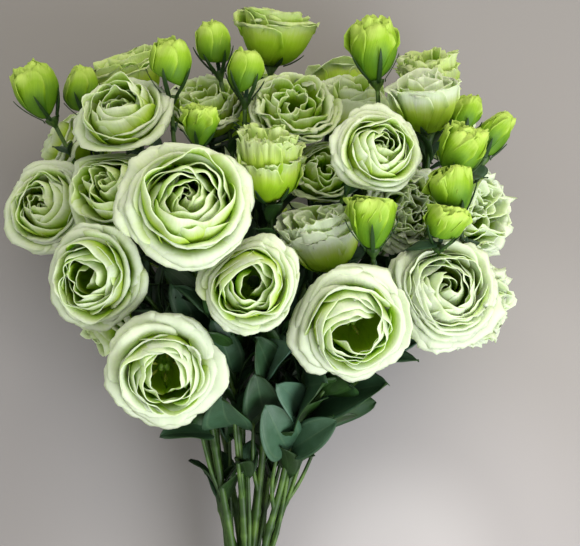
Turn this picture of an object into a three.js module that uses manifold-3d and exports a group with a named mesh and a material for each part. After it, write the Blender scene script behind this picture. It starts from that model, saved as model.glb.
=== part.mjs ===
// A hand-tied bunch of double lisianthus (Eustoma), cut and laid down on its back.
// Millimetres, +Z up, the surface that the bunch lies on at z = 0, the flower heads towards +Y.
//
// The bunch is laid out upright, as it is pictured: x to the right, y up along the stems,
// z towards the viewer. The whole group is then laid back, which turns it about X.
import * as THREE from "three";
import { mergeVertices } from "three/addons/utils/BufferGeometryUtils.js";
import Module from "manifold-3d";

const wasm = await Module();
wasm.setup();

// ---------------------------------------------------------------- driving dimensions
const PICTURE_CENTRE = { x: 290, y: 273 }; // pixels
const MM_PER_PIXEL = 0.58; // at the depth of the bunch's own axis
const VIEW_DISTANCE = 1000; // from the viewer to the bunch's axis

const LAID_BACK = THREE.MathUtils.degToRad(10); // slope of the stems as the bunch lies
const HEAD_HEIGHT = 72; // height of the layout's origin above the surface

const AXIS_X = -24; // where the stems gather, left of the picture's centre
const TIE_Y = -176; // height of the tie in the layout
const CUT_Y = -290; // where the stems are cut
const SPLAY = 1.9; // how much wider the cut ends stand than the tied waist
const WAIST_TWIST = THREE.MathUtils.degToRad(35); // the stems spiral through the tie
const OUTER_RING = 10.6; // radius of the ring of nine stems at the tie
const INNER_RING = 3.7; // and of the three stems inside it

const STEM_RADIUS = 2.7; // at the cut end
const STEM_TAPER = 0.6; // how much thinner a stem is at its fork
const PEDICEL_RADIUS = 1.5; // of the branches that carry the flowers
const TOP_BRANCH = 0.985; // where on its stem the highest branch starts, 1 is the fork
const BRANCH_STEP = 0.05; // and how much lower down the others start
const BRANCH_LEAN = 0.55; // how far a branch starts out along its stem
const BRANCH_BEND = 0.35; // how soon it turns to its flower, as a share of its length
const CALYX_DEPTH = 6;
const CALYX_WIDTH = 0.17; // radius of its mouth, as a share of the bloom's

const PETAL_THICKNESS = 1.1;
const SEPAL_THICKNESS = 0.9;
const LEAF_THICKNESS = 0.9;
const LEAF_FOLD = 0.3; // slope of a leaf's halves up from its rib
const PETALS_IN_RING = 5;
const PETAL_SHARE = 0.86; // how much of its fifth of the ring a petal's points span
const PINWHEEL = 0.11; // how far a petal's trailing edge stands out, as a share of the radius
const RUFFLES = 5.5; // waves round a bloom's rims
const RUFFLE_HEIGHT = 0.05; // as a share of the bloom's radius
const RING_TURN = 0.5; // how far each ring is turned from the one outside it, in petals
const TWINE_RADIUS = 1.6;
const TWINE_TURNS = 3;
const CLEARANCE = 0.35; // between pieces that touch
const FLATTENED = 1.6; // how much of the flowers underneath is flat on the surface
const PRESS_DEPTH = 7; // how far in from a neighbour a pressed flower starts to give way
const OVERLAP = 0.55; // how far the plane between two flowers leans, as a slope
const NEIGHBOURLY = 1.25; // flowers further apart than this times their reach don't meet

// ---------------------------------------------------------------- the layout
// x, y: pixels of the picture. depth: mm in front of the bunch's axis. radius: mm.
// face: the way a flower looks, to the right, up and towards the viewer.
const BLOOMS = [
  { x: 187, y: 206, depth: 106, radius: 39.5, face: [0.1, 0.22, 1], form: "rose", front: true },
  { x: 250, y: 283, depth: 98, radius: 31, face: [-0.1, -0.05, 1], form: "loose", front: true },
  { x: 351, y: 322, depth: 92, radius: 36, face: [0.12, -0.3, 1], form: "hollow", front: true },
  { x: 164, y: 368, depth: 80, radius: 35, face: [0.02, -0.3, 1], form: "hollow", front: true },
  { x: 96, y: 276, depth: 66, radius: 32, face: [-0.35, -0.1, 1], form: "loose" },
  { x: 50, y: 209, depth: 18, radius: 31, face: [-0.35, 0.3, 1], form: "rose" },
  { x: 124, y: 119, depth: 46, radius: 32, face: [-0.25, 0.65, 0.9], form: "rose", front: true },
  { x: 116, y: 190, depth: 50, radius: 33, face: [-0.4, 0.35, 1], form: "tucked" },
  { x: 293, y: 108, depth: 34, radius: 29, face: [0.15, 0.7, 1], form: "ruffled" },
  { x: 354, y: 86, depth: 6, radius: 24, face: [-0.05, 1, 0.4], form: "cup" },
  { x: 276, y: 24, depth: -2, radius: 26, face: [0.12, 1, 0.25], form: "saucer" },
  { x: 376, y: 152, depth: 80, radius: 28.5, face: [0.3, 0.3, 1], form: "rose" },
  { x: 425, y: 86, depth: 48, radius: 21, face: [-0.12, 1, 0.35], form: "goblet" },
  { x: 427, y: 64, depth: 4, radius: 20, face: [-0.1, 1, 0.35], form: "young" },
  { x: 442, y: 292, depth: 76, radius: 35, face: [0.22, 0.25, 1], form: "rose", front: true },
  { x: 467, y: 212, depth: 16, radius: 34, face: [0.7, 0.05, 1], form: "fringed" },
  { x: 474, y: 308, depth: 22, radius: 29, face: [0.9, -0.35, 0.8], form: "fringed" },
  { x: 316, y: 222, depth: 66, radius: 23, face: [-0.35, 0.9, 0.6], form: "goblet" },
  { x: 269, y: 139, depth: 72, radius: 20, face: [-0.03, 1, 0.3], form: "young" },
  { x: 322, y: 170, depth: 34, radius: 26, face: [0.1, 0.5, 1], form: "ruffled" },
  { x: 408, y: 210, depth: 46, radius: 28, face: [0.3, 0.15, 1], form: "fringed" },
  { x: 206, y: 105, depth: 20, radius: 27, face: [-0.12, 0.85, 0.75], form: "ruffled" },
  { x: 124, y: 70, depth: -26, radius: 27, face: [-0.35, 1, 0.25], form: "saucer" },
  { x: 68, y: 150, depth: -22, radius: 26, face: [-1, 0.45, 0.2], form: "tucked" },
  { x: 106, y: 320, depth: 18, radius: 27, face: [-0.7, -0.75, 0.35], form: "tucked" },
  // Round the back, where the bunch lies on its flowers.
  { x: 146, y: 222, depth: -66, radius: 35, face: [-0.45, -0.3, -1], form: "tucked" },
  { x: 258, y: 120, depth: -76, radius: 34, face: [-0.05, 0.5, -1], form: "tucked" },
  { x: 392, y: 196, depth: -72, radius: 36, face: [0.5, 0.1, -1], form: "tucked" },
  { x: 282, y: 250, depth: -68, radius: 34, face: [0.1, -0.4, -1], form: "tucked" },
  { x: 80, y: 150, depth: -64, radius: 30, face: [-0.9, 0.4, -0.6], form: "tucked" },
  { x: 345, y: 98, depth: -54, radius: 30, face: [0.2, 0.7, -1], form: "tucked" },
  { x: 440, y: 128, depth: -40, radius: 31, face: [0.8, 0.6, -0.4], form: "tucked" },
  { x: 432, y: 284, depth: -42, radius: 32, face: [0.8, -0.4, -0.6], form: "tucked" },
  { x: 128, y: 300, depth: -38, radius: 31, face: [-0.7, -0.6, -0.6], form: "tucked" },
];

// A bud's x and y are its middle. length and radius in mm.
const BUDS = [
  { x: 38, y: 92, depth: 4, length: 34, radius: 12.5, face: [-0.45, 0.9, 0.15] },
  { x: 81, y: 92, depth: -6, length: 29, radius: 11, face: [-0.25, 1, 0.1] },
  { x: 170, y: 68, depth: 48, length: 31, radius: 11, face: [-0.03, 1, 0.15] },
  { x: 214, y: 47, depth: 24, length: 28, radius: 9.5, face: [-0.2, 1, 0.15] },
  { x: 246, y: 74, depth: 42, length: 27, radius: 10, face: [0.03, 1, 0.12] },
  { x: 374, y: 50, depth: 42, length: 34, radius: 13, face: [-0.1, 1, 0.2] },
  { x: 465, y: 117, depth: 26, length: 25, radius: 9, face: [0.05, 1, 0] },
  { x: 491, y: 134, depth: 24, length: 27, radius: 10, face: [0.3, 1, -0.05] },
  { x: 460, y: 153, depth: 70, length: 30, radius: 12.5, face: [0.3, 1, 0.3] },
  { x: 452, y: 189, depth: 84, length: 30, radius: 13, face: [-0.25, 0.9, 0.4] },
  { x: 445, y: 224, depth: 94, length: 27, radius: 12, face: [0.2, 0.85, 0.5] },
  { x: 372, y: 219, depth: 100, length: 32, radius: 13.5, face: [-0.05, 0.95, 0.35] },
  { x: 200, y: 126, depth: 70, length: 21, radius: 9, face: [0.05, 1, 0.25] },
];

// Each stem: where it passes the tie (ring radius in mm, angle in degrees, 90 is the front), the
// place where it stops being one stem, and the blooms and buds that its branches carry.
const STEMS = [
  { ring: OUTER_RING, angle: 130, fork: { x: 203, y: 372, depth: 22 }, blooms: [4, 5], buds: [] },
  { ring: OUTER_RING, angle: 90, fork: { x: 232, y: 352, depth: 30 }, blooms: [2, 1], buds: [13] },
  { ring: OUTER_RING, angle: 50, fork: { x: 306, y: 378, depth: 28 }, blooms: [3, 15], buds: [12] },
  { ring: OUTER_RING, angle: 210, fork: { x: 190, y: 352, depth: -10 }, blooms: [25, 6, 24], buds: [1] },
  { ring: OUTER_RING, angle: 170, fork: { x: 206, y: 332, depth: 4 }, blooms: [8, 7], buds: [3] },
  { ring: INNER_RING, angle: 60, fork: { x: 272, y: 345, depth: 22 }, blooms: [18, 19, 20, 12], buds: [] },
  { ring: INNER_RING, angle: 180, fork: { x: 242, y: 330, depth: 4 }, blooms: [22, 9, 11], buds: [5, 4] },
  { ring: INNER_RING, angle: 300, fork: { x: 292, y: 335, depth: -14 }, blooms: [10, 13, 14], buds: [6] },
  { ring: OUTER_RING, angle: 10, fork: { x: 318, y: 358, depth: 8 },
    blooms: [21], buds: [11, 10, 9, 7, 8] },
  { ring: OUTER_RING, angle: 330, fork: { x: 324, y: 368, depth: -24 }, blooms: [17, 33, 16], buds: [] },
  { ring: OUTER_RING, angle: 250, fork: { x: 214, y: 350, depth: -30 },
    blooms: [34, 26, 30, 23], buds: [2] },
  { ring: OUTER_RING, angle: 290, fork: { x: 274, y: 350, depth: -34 },
    blooms: [29, 28, 27, 32, 31], buds: [] },
];

// Each leaf: the stem that it grows on, how far up that stem (0 the cut end, 1 the fork), the
// place of its tip and the way its upper face looks. width and bow are shares of its length.
const LEAVES = [
  { stem: 3, up: 0.82, tip: { x: 265, y: 405, depth: 50 }, face: [0.2, 0.2, 1], width: 0.62, bow: 0.1 },
  { stem: 3, up: 0.82, tip: { x: 337, y: 421, depth: 40 }, face: [-0.2, 0.4, 1], width: 0.55, bow: 0.1 },
  { stem: 3, up: 0.9, tip: { x: 277, y: 384, depth: 58 }, face: [0.4, 0.2, 1], width: 0.5, bow: 0.1 },
  { stem: 9, up: 0.87, tip: { x: 388, y: 384, depth: 30 }, face: [-0.2, 0.7, 0.8], width: 0.62, bow: 0.1 },
  { stem: 9, up: 0.9, tip: { x: 325, y: 383, depth: 62 }, face: [-0.2, 0.3, 1], width: 0.85, bow: 0.1 },
  { stem: 10, up: 0.86, tip: { x: 376, y: 402, depth: -24 }, face: [0.2, 0.3, -1], width: 0.5, bow: 0.1 },
  { stem: 10, up: 0.95, tip: { x: 420, y: 342, depth: 2 }, face: [0, 0.8, 0.5], width: 0.4, bow: 0.1 },
  { stem: 6, up: 0.94, tip: { x: 293, y: 350, depth: 62 }, face: [0, 0.4, 1], width: 0.5, bow: 0.1 },
  { stem: 6, up: 0.85, tip: { x: 256, y: 374, depth: 52 }, face: [0, 0.3, 1], width: 0.55, bow: 0.12 },
  { stem: 6, up: 0.93, tip: { x: 256, y: 338, depth: 62 }, face: [0.2, 0.3, 1], width: 0.45, bow: 0.1 },
  { stem: 2, up: 0.84, tip: { x: 222, y: 398, depth: 58 }, face: [-0.2, 0.3, 1], width: 0.7, bow: 0.1 },
  { stem: 2, up: 0.95, tip: { x: 212, y: 320, depth: 50 }, face: [0.2, 0.5, 1], width: 0.5, bow: 0.1 },
  { stem: 1, up: 0.85, tip: { x: 160, y: 436, depth: 34 }, face: [-0.2, 0.8, 0.7], width: 0.5, bow: 0.1 },
  { stem: 4, up: 0.86, tip: { x: 148, y: 412, depth: -26 }, face: [-0.2, 0.4, -1], width: 0.5, bow: 0.1 },
  { stem: 5, up: 0.96, tip: { x: 172, y: 284, depth: 44 }, face: [0.1, 0.4, 1], width: 0.5, bow: 0.1 },
  { stem: 8, up: 0.88, tip: { x: 308, y: 366, depth: -46 }, face: [0.1, 0.4, -1], width: 0.6, bow: 0.1 },
  { stem: 11, up: 0.82, tip: { x: 184, y: 398, depth: -46 }, face: [-0.2, 0.3, -1], width: 0.6, bow: 0.1 },
  { stem: 11, up: 0.92, tip: { x: 160, y: 346, depth: -50 }, face: [-0.2, 0.3, -1], width: 0.55, bow: 0.1 },
  { stem: 12, up: 0.84, tip: { x: 316, y: 402, depth: -46 }, face: [0.2, 0.3, -1], width: 0.6, bow: 0.1 },
  { stem: 12, up: 0.82, tip: { x: 240, y: 390, depth: -50 }, face: [-0.1, 0.3, -1], width: 0.6, bow: 0.1 },
];

// How a kind of flower is built. openness: 0 a closed cup, 1 petals laid open. height: times its
// radius. rings: petal rings from the outside in, 1 the outermost. ruffle: how wavy its rims are.
// heart: how high its middle is, as a share of its height.
const FORMS = {
  rose: { openness: 0.9, height: 1.1, rings: [1, 0.64, 0.32], ruffle: 1, heart: 0.72 },
  tucked: { openness: 0.9, height: 1.1, rings: [1, 0.5], ruffle: 1, heart: 0.8 },
  loose: { openness: 0.85, height: 1.1, rings: [1, 0.64, 0.32], ruffle: 1.3, heart: 0.6 },
  hollow: { openness: 0.95, height: 1.05, rings: [1, 0.7, 0.46], ruffle: 1, heart: 0.3 },
  fringed: { openness: 0.8, height: 1.1, rings: [1, 0.64, 0.32], ruffle: 1.8, heart: 0.7 },
  ruffled: { openness: 0.65, height: 1.2, rings: [1, 0.56], ruffle: 1.6, heart: 0.8 },
  saucer: { openness: 0.5, height: 1.4, rings: [1, 0.62, 0.3], ruffle: 1, heart: 0.9 },
  goblet: { openness: 0.35, height: 1.7, rings: [1, 0.55], ruffle: 0.8, heart: 0.75 },
  cup: { openness: 0.12, height: 1.8, rings: [1, 0.55], ruffle: 0.7, heart: 0.75 },
  young: { openness: 0.3, height: 2.3, rings: [1, 0.6], ruffle: 1.8, heart: 0.8 },
};

// How finely a flower is cut into flat faces: points round each ring, and the stops along a petal.
// A flower at the front shows three points to a petal, and the others two.
const FRONT = { points: 15, stops: [0.02, 0.5, 1] };
const SIDE = { points: 10, stops: [0.02, 0.5, 1] };
const MAIN_STOPS = [0, 0.25, 0.45, 0.65, 0.83, 1]; // rings of points along a main stem
const MAIN_SIDES = 6;
const BRANCH_SIDES = 4;
const LONG_BRANCH = 90; // a branch longer than this is bent in three places, a shorter one in two
const TWINE_SIDES = 13;

const COLOURS = {
  petal: { color: "#dfe8c8", roughness: 0.6 },
  youngPetal: { color: "#b7cf62", roughness: 0.6 },
  bud: { color: "#93b52f", roughness: 0.5 },
  green: { color: "#3f6a3a", roughness: 0.55 },
  twine: { color: "#b89a68", roughness: 0.9 },
};

// ---------------------------------------------------------------- small helpers
const vector = (values) => new THREE.Vector3(...values);

// The point that a pixel of the picture shows, at a given depth.
function pictured({ x, y, depth }) {
  const scale = MM_PER_PIXEL * (1 - depth / VIEW_DISTANCE);
  return new THREE.Vector3((x - PICTURE_CENTRE.x) * scale, (PICTURE_CENTRE.y - y) * scale, depth);
}

// A seeded random number from -1 to 1.
function randomFrom(seed) {
  let state = seed * 2654435761;
  return () => {
    state = (state + 0x6d2b79f5) | 0;
    let t = Math.imul(state ^ (state >>> 15), 1 | state);
    t = (t + Math.imul(t ^ (t >>> 7), 61 | t)) ^ t;
    return (((t ^ (t >>> 14)) >>> 0) / 4294967296) * 2 - 1;
  };
}

// Closed triangles as a solid that can be joined and cut.
function solidOf(geometry) {
  const plain = (geometry.index ? geometry.toNonIndexed() : geometry).clone();
  plain.deleteAttribute("normal");
  plain.deleteAttribute("uv");
  const merged = mergeVertices(plain, 1e-4);
  return new wasm.Manifold(
    new wasm.Mesh({
      numProp: 3,
      vertProperties: merged.attributes.position.array,
      triVerts: new Uint32Array(merged.index.array),
    }),
  );
}

function geometryOf(solid) {
  const { numProp, vertProperties, triVerts } = solid.getMesh();
  const positions = new Float32Array((vertProperties.length / numProp) * 3);
  for (let i = 0; i < positions.length / 3; i++) {
    positions.set(vertProperties.subarray(i * numProp, i * numProp + 3), i * 3);
  }
  return new THREE.BufferGeometry()
    .setAttribute("position", new THREE.BufferAttribute(positions, 3))
    .setIndex(new THREE.BufferAttribute(new Uint32Array(triVerts), 1));
}

// Cutting can leave scraps: the largest body is the piece.
function largestBody(solid) {
  const bodies = solid.decompose();
  return bodies.reduce((best, body) => (body.volume() > best.volume() ? body : best));
}

function geometryFrom(points, triangles) {
  return new THREE.BufferGeometry()
    .setAttribute("position", new THREE.Float32BufferAttribute(points.flatMap((p) => p.toArray()), 3))
    .setIndex(triangles.flat());
}

// Turns +Z to the way that a flower faces.
const facing = (face) => new THREE.Quaternion().setFromUnitVectors(new THREE.Vector3(0, 0, 1), face);

// ---------------------------------------------------------------- flowers
// A point of a petal's long section, in the plane through the flower's axis: distance from the
// axis and height above the base. ring runs from 0, the heart, to 1, the outermost petals, and
// along from 0, the petal's foot, to 1, its rim.
function petalSection({ radius, height, openness }, ring, along) {
  const spread = ring * openness;
  const closed = 1 - openness;
  const rim = radius * (0.12 + 0.88 * ring ** 1.1) * (1 - 0.14 * closed);
  const top = height * (0.86 + 0.3 * ring - (0.25 + 0.5 * openness) * ring * ring);
  const belly = rim * (1.1 + 0.14 * closed - 0.45 * spread) + 0.04 * radius;
  const shoulder = rim * (1.05 + 0.14 * closed - 0.2 * spread);
  const section = new THREE.CubicBezierCurve(
    new THREE.Vector2(radius * (0.1 + 0.08 * ring), 0),
    new THREE.Vector2(belly, height * (0.12 - 0.08 * spread)),
    new THREE.Vector2(shoulder, top * (0.8 + 0.35 * spread)),
    new THREE.Vector2(rim, top),
  );
  const point = section.getPoint(along);
  const tangent = section.getTangent(along);
  return { point, inward: new THREE.Vector2(-tangent.y, tangent.x) };
}

// A double flower as one closed skin that goes up the outside of each ring of petals, over the
// rim and down its inside, ring after ring to the heart. Each ring is five petals that overlap
// like a pinwheel: a petal's trailing edge stands out over the leading edge of the next.
function bloomGeometry(bloom, seed) {
  const random = randomFrom(seed);
  const perPetal = bloom.points / PETALS_IN_RING;
  const petalAngle = (2 * Math.PI) / PETALS_IN_RING;
  const ruffleHeight = bloom.ruffle * RUFFLE_HEIGHT * bloom.radius;
  const points = [new THREE.Vector3(0, 0, 0)];
  const bands = []; // for each circle of points: is the band up to it on the inside of a petal?

  function circle(ring, along, inside, petals, insideBand) {
    const { point, inward } = petalSection(bloom, ring, along);
    point.addScaledVector(inward, inside ? PETAL_THICKNESS : 0);
    for (let j = 0; j < bloom.points; j++) {
      const petal = petals[Math.floor(j / perPetal)];
      const across = (j % perPetal) / (perPetal - 1); // 0 the leading edge, 1 the trailing one
      const angle = petal.angle + across * PETAL_SHARE * petalAngle;
      const lap = (across - 0.5) * PINWHEEL * bloom.radius * along;
      const crown = Math.sin(Math.PI * (0.15 + 0.7 * across)) - 0.75; // corners are lower
      const wave = ruffleHeight * along ** 3 * Math.sin(RUFFLES * angle + petal.phase);
      const r = point.x * (1 + 0.06 * petal.size * along) + lap;
      const h = point.y * (1 + 0.12 * crown * along ** 2) + wave;
      points.push(new THREE.Vector3(r * Math.cos(angle), r * Math.sin(angle), h));
    }
    bands.push(insideBand);
  }

  bloom.rings.forEach((ring, index) => {
    const petals = Array.from({ length: PETALS_IN_RING }, (_, k) => ({
      angle: (k + index * RING_TURN) * petalAngle + seed,
      size: random(),
      phase: random() * Math.PI,
    }));
    const outerStops = [bloom.stops, [0.62, 1], [1]][index];
    const innerStops = index === 0 ? bloom.stops.slice(1).reverse() : [1, 0.5];
    outerStops.forEach((stop, k) => circle(ring, stop, false, petals, index === 1 && k === 0));
    innerStops.forEach((stop, k) => circle(ring, stop, true, petals, k > 0));
  });
  points.push(new THREE.Vector3(0, 0, bloom.height * bloom.heart));

  const n = bloom.points;
  const at = (ringIndex, j) => 1 + ringIndex * n + (j % n);
  const last = bands.length - 1;
  const triangles = [];
  for (let j = 0; j < n; j++) triangles.push([0, at(0, j + 1), at(0, j)]);
  for (let i = 1; i <= last; i++) {
    for (let j = 0; j < n; j++) {
      const [a, b, c, d] = [at(i - 1, j), at(i - 1, j + 1), at(i, j + 1), at(i, j)];
      // Each face of a petal is split along the diagonal that its other face is split along.
      if (bands[i]) triangles.push([a, b, c], [a, c, d]);
      else triangles.push([a, b, d], [b, c, d]);
    }
  }
  for (let j = 0; j < n; j++) triangles.push([at(last, j), at(last, j + 1), points.length - 1]);
  return { points, triangles };
}

// A bud: an egg with five petals wound round it, each with one edge standing a little proud.
function budGeometry({ length, radius }, seed) {
  const sides = 2 * PETALS_IN_RING;
  const levels = [0.03, 0.26, 0.6, 0.95];
  const winding = 1.1; // radians from foot to tip
  const points = [new THREE.Vector3(0, 0, 0)];
  for (const level of levels) {
    const girth = radius * Math.sin(Math.PI * (0.07 + 0.8 * level)) ** 0.85;
    for (let j = 0; j < sides; j++) {
      const isEdge = j % 2 === 1;
      const petal = Math.floor(j / 2) + (isEdge ? 0.8 : 0);
      const angle = (petal * 2 * Math.PI) / PETALS_IN_RING + winding * level + seed;
      const r = girth * (1 + (isEdge ? 0.09 : -0.05) * level);
      const h = length * level * (isEdge ? 1 : 1.03);
      points.push(new THREE.Vector3(r * Math.cos(angle), r * Math.sin(angle), h));
    }
  }
  points.push(new THREE.Vector3(0, 0, length * 0.9));
  const at = (level, j) => 1 + level * sides + (j % sides);
  const triangles = [];
  for (let j = 0; j < sides; j++) {
    triangles.push([0, at(0, j + 1), at(0, j)]);
    for (let i = 1; i < levels.length; i++) {
      const [a, b, c, d] = [at(i - 1, j), at(i - 1, j + 1), at(i, j + 1), at(i, j)];
      triangles.push([a, b, d], [b, c, d]);
    }
    triangles.push([at(levels.length - 1, j), at(levels.length - 1, j + 1), points.length - 1]);
  }
  return { points, triangles };
}

// ---------------------------------------------------------------- pressing together
const TOWARDS_VIEWER = new THREE.Vector3(0, 0, 0.01); // the outward side of two that look apart

// Flowers give way where they meet, each to its own side of a plane between them. The plane leans,
// so that the flower that stands further out lies over the edge of the other.
function planesBetween(flowers, self) {
  const planes = [];
  for (const other of flowers) {
    if (other === self) continue;
    const between = other.middle.clone().sub(self.middle);
    const distance = between.length();
    if (distance > NEIGHBOURLY * (self.reach + other.reach)) continue;
    const share = (distance ** 2 + self.reach ** 2 - other.reach ** 2) / (2 * distance);
    const meeting = self.middle.clone().addScaledVector(between, share / distance);
    const outward = self.face.clone().add(other.face).add(TOWARDS_VIEWER).normalize();
    const lean = between.dot(outward) < 0 ? -OVERLAP : OVERLAP;
    const normal = between.normalize().addScaledVector(outward, lean).normalize();
    const offset = normal.dot(meeting) - CLEARANCE / 2;
    planes.push({ normal, offset, depth: PRESS_DEPTH });
  }
  return planes;
}

// Moves a point back along the plane's normal. Points keep their order, so nothing folds over.
function press(point, { normal, offset, depth }) {
  const beyond = normal.dot(point) - offset + depth;
  if (beyond <= 0) return;
  const kept = depth * (1 - Math.exp(-beyond / depth));
  point.addScaledVector(normal, kept - beyond);
}

// The surface that the bunch lies on, in the layout's frame. Petals are pressed to just below it,
// and are then cut off flat at it.
const SURFACE = {
  normal: new THREE.Vector3(0, -Math.sin(LAID_BACK), -Math.cos(LAID_BACK)),
  offset: HEAD_HEIGHT + FLATTENED,
  depth: 2 * FLATTENED,
};

// ---------------------------------------------------------------- stems and leaves
// A stem as it grows: rings of points along a curve, each with a radius of its own, closed at both
// ends. at is the share of the curve's length.
function grownAlong(curve, rings, sides) {
  let heading = curve.getTangentAt(0);
  const side = new THREE.Vector3().crossVectors(heading, new THREE.Vector3(0.6, 0, 0.8)).normalize();
  const points = rings.flatMap(({ at, radius }) => {
    const next = curve.getTangentAt(at);
    side.applyQuaternion(new THREE.Quaternion().setFromUnitVectors(heading, next));
    heading = next;
    const centre = curve.getPointAt(at);
    return Array.from({ length: sides }, (_, k) =>
      side.clone().applyAxisAngle(heading, (k * 2 * Math.PI) / sides).multiplyScalar(radius).add(centre),
    );
  });

  const triangles = [];
  for (let i = 1; i < rings.length; i++) {
    for (let k = 0; k < sides; k++) {
      const [a, b] = [(i - 1) * sides + k, (i - 1) * sides + ((k + 1) % sides)];
      triangles.push([a, b, b + sides], [a, b + sides, a + sides]);
    }
  }
  const top = (rings.length - 1) * sides;
  for (let k = 1; k < sides - 1; k++) triangles.push([0, k + 1, k], [top, top + k, top + k + 1]);
  return solidOf(geometryFrom(points, triangles));
}

// Where a stem passes a given height of the layout, at the tie and below it.
function waistPoint(stem, y) {
  const below = (TIE_Y - y) / (TIE_Y - CUT_Y);
  const ring = stem.ring * (1 + below * (SPLAY - 1));
  const angle = THREE.MathUtils.degToRad(stem.angle) - below * WAIST_TWIST;
  return new THREE.Vector3(AXIS_X + ring * Math.cos(angle), y, ring * Math.sin(angle));
}

// A leaf blade: a pointed oval, folded a little along its rib and bowed between its two ends.
// It runs along +X from the origin to its tip, its upper face to +Z.
function leafGeometry(length, { width, bow }, clearance) {
  const stations = [
    { along: 0, half: 0.08 },
    { along: 0.28, half: 0.44 },
    { along: 0.66, half: 0.4 },
  ];
  const point = (along, side, half, face) => {
    const out = half * length * width + clearance;
    const rise = 4 * bow * length * along * (1 - along) + Math.abs(side) * out * LEAF_FOLD;
    return new THREE.Vector3(length * along, side * out, rise + face);
  };
  const points = [];
  for (const face of [clearance, -LEAF_THICKNESS - clearance]) {
    for (const { along, half } of stations) {
      for (const side of [-1, 0, 1]) points.push(point(along, side, half, face));
    }
  }
  const tip = points.push(point(1, 0, 0, -LEAF_THICKNESS / 2)) - 1;
  const at = (face, station, side) => (face * stations.length + station) * 3 + side;
  const triangles = [];
  const quad = (a, b, c, d) => triangles.push([a, b, c], [a, c, d]);
  const last = stations.length - 1;
  for (let i = 0; i < last; i++) {
    for (let k = 0; k < 2; k++) {
      quad(at(0, i, k), at(0, i + 1, k), at(0, i + 1, k + 1), at(0, i, k + 1));
      triangles.push([at(1, i, k), at(1, i + 1, k + 1), at(1, i + 1, k)]);
      triangles.push([at(1, i, k), at(1, i, k + 1), at(1, i + 1, k + 1)]);
    }
    quad(at(0, i, 0), at(1, i, 0), at(1, i + 1, 0), at(0, i + 1, 0));
    quad(at(0, i, 2), at(0, i + 1, 2), at(1, i + 1, 2), at(1, i, 2));
  }
  for (let k = 0; k < 2; k++) {
    quad(at(0, 0, k), at(0, 0, k + 1), at(1, 0, k + 1), at(1, 0, k));
    triangles.push([at(0, last, k), tip, at(0, last, k + 1)], [at(1, last, k), at(1, last, k + 1), tip]);
  }
  triangles.push([at(0, last, 0), at(1, last, 0), tip], [at(0, last, 2), tip, at(1, last, 2)]);
  return geometryFrom(points, triangles);
}

// The cup under a bud, with five narrow sepals that stand close round the bud.
function budCalyx({ radius, length }, clearance) {
  const mouth = radius * 0.55;
  const foot = [];
  const outside = [];
  const inside = [];
  for (let k = 0; k < 2 * PETALS_IN_RING; k++) {
    const isTip = k % 2 === 1;
    const angle = (k * Math.PI) / PETALS_IN_RING;
    const r = isTip ? radius * 1.12 + 2 : mouth + SEPAL_THICKNESS;
    const h = isTip ? length * 0.45 : -CLEARANCE;
    const at = (out, up) => new THREE.Vector3(out * Math.cos(angle), out * Math.sin(angle), up);
    if (!isTip) foot.push(at(PEDICEL_RADIUS + clearance, -CALYX_DEPTH - clearance));
    outside.push(at(r + clearance, h + clearance));
    inside.push(at(r - SEPAL_THICKNESS - clearance, h + clearance));
  }
  const floorHeight = -1.5; // inside the cup, just below the bud
  const points = [...foot, ...outside, ...inside, new THREE.Vector3(0, 0, floorHeight + clearance)];
  const out = (k) => PETALS_IN_RING + (k % (2 * PETALS_IN_RING));
  const inner = (k) => 3 * PETALS_IN_RING + (k % (2 * PETALS_IN_RING));
  const floor = points.length - 1;
  const triangles = [[0, 2, 1], [0, 3, 2], [0, 4, 3]];
  for (let k = 0; k < PETALS_IN_RING; k++) {
    const next = (k + 1) % PETALS_IN_RING;
    const tip = out(2 * k + 1);
    triangles.push([k, tip, out(2 * k)], [k, next, tip], [next, out(2 * k + 2), tip]);
  }
  for (let k = 0; k < 2 * PETALS_IN_RING; k++) {
    triangles.push([out(k), out(k + 1), inner(k)], [out(k + 1), inner(k + 1), inner(k)]);
    triangles.push([inner(k), inner(k + 1), floor]);
  }
  return { points, triangles };
}

// ---------------------------------------------------------------- building
const numbered = (word, index) => `${word}_${String(index + 1).padStart(2, "0")}`;

const blooms = BLOOMS.map((row, index) => {
  const form = { ...FORMS[row.form], ...(row.front ? FRONT : SIDE) };
  const face = vector(row.face).normalize();
  const height = row.radius * form.height;
  const rimHeight = petalSection({ ...row, ...form, height }, 1, 1).point.y;
  const base = pictured(row).addScaledVector(face, -rimHeight);
  const middle = base.clone().addScaledVector(face, height / 2);
  const reach = Math.max(row.radius, height / 2);
  const petals = row.form === "young" ? COLOURS.youngPetal : COLOURS.petal;
  const name = numbered("bloom", index);
  return { ...row, ...form, name, face, height, base, middle, reach, colour: petals };
});

const buds = BUDS.map((row, index) => {
  const face = vector(row.face).normalize();
  const middle = pictured(row);
  const base = middle.clone().addScaledVector(face, -row.length / 2);
  const reach = row.length * 0.46;
  const name = numbered("bud", index);
  return { ...row, isBud: true, name, face, base, middle, reach, colour: COLOURS.bud };
});

const flowers = [...blooms, ...buds];

// Sets a shape on its stem.
function placed(flower, { points, triangles }, planes = []) {
  const turn = facing(flower.face);
  for (const point of points) {
    point.applyQuaternion(turn).add(flower.base);
    for (const plane of planes) press(point, plane);
  }
  return solidOf(geometryFrom(points, triangles));
}

// Sets a flower on its stem, pressed clear of its neighbours and of the surface below. Twice
// round the planes, because giving way to one neighbour can lead into another.
function setInBunch(flower, shape) {
  const planes = [...planesBetween(flowers, flower), SURFACE];
  return placed(flower, shape, [...planes, ...planes]);
}

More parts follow.
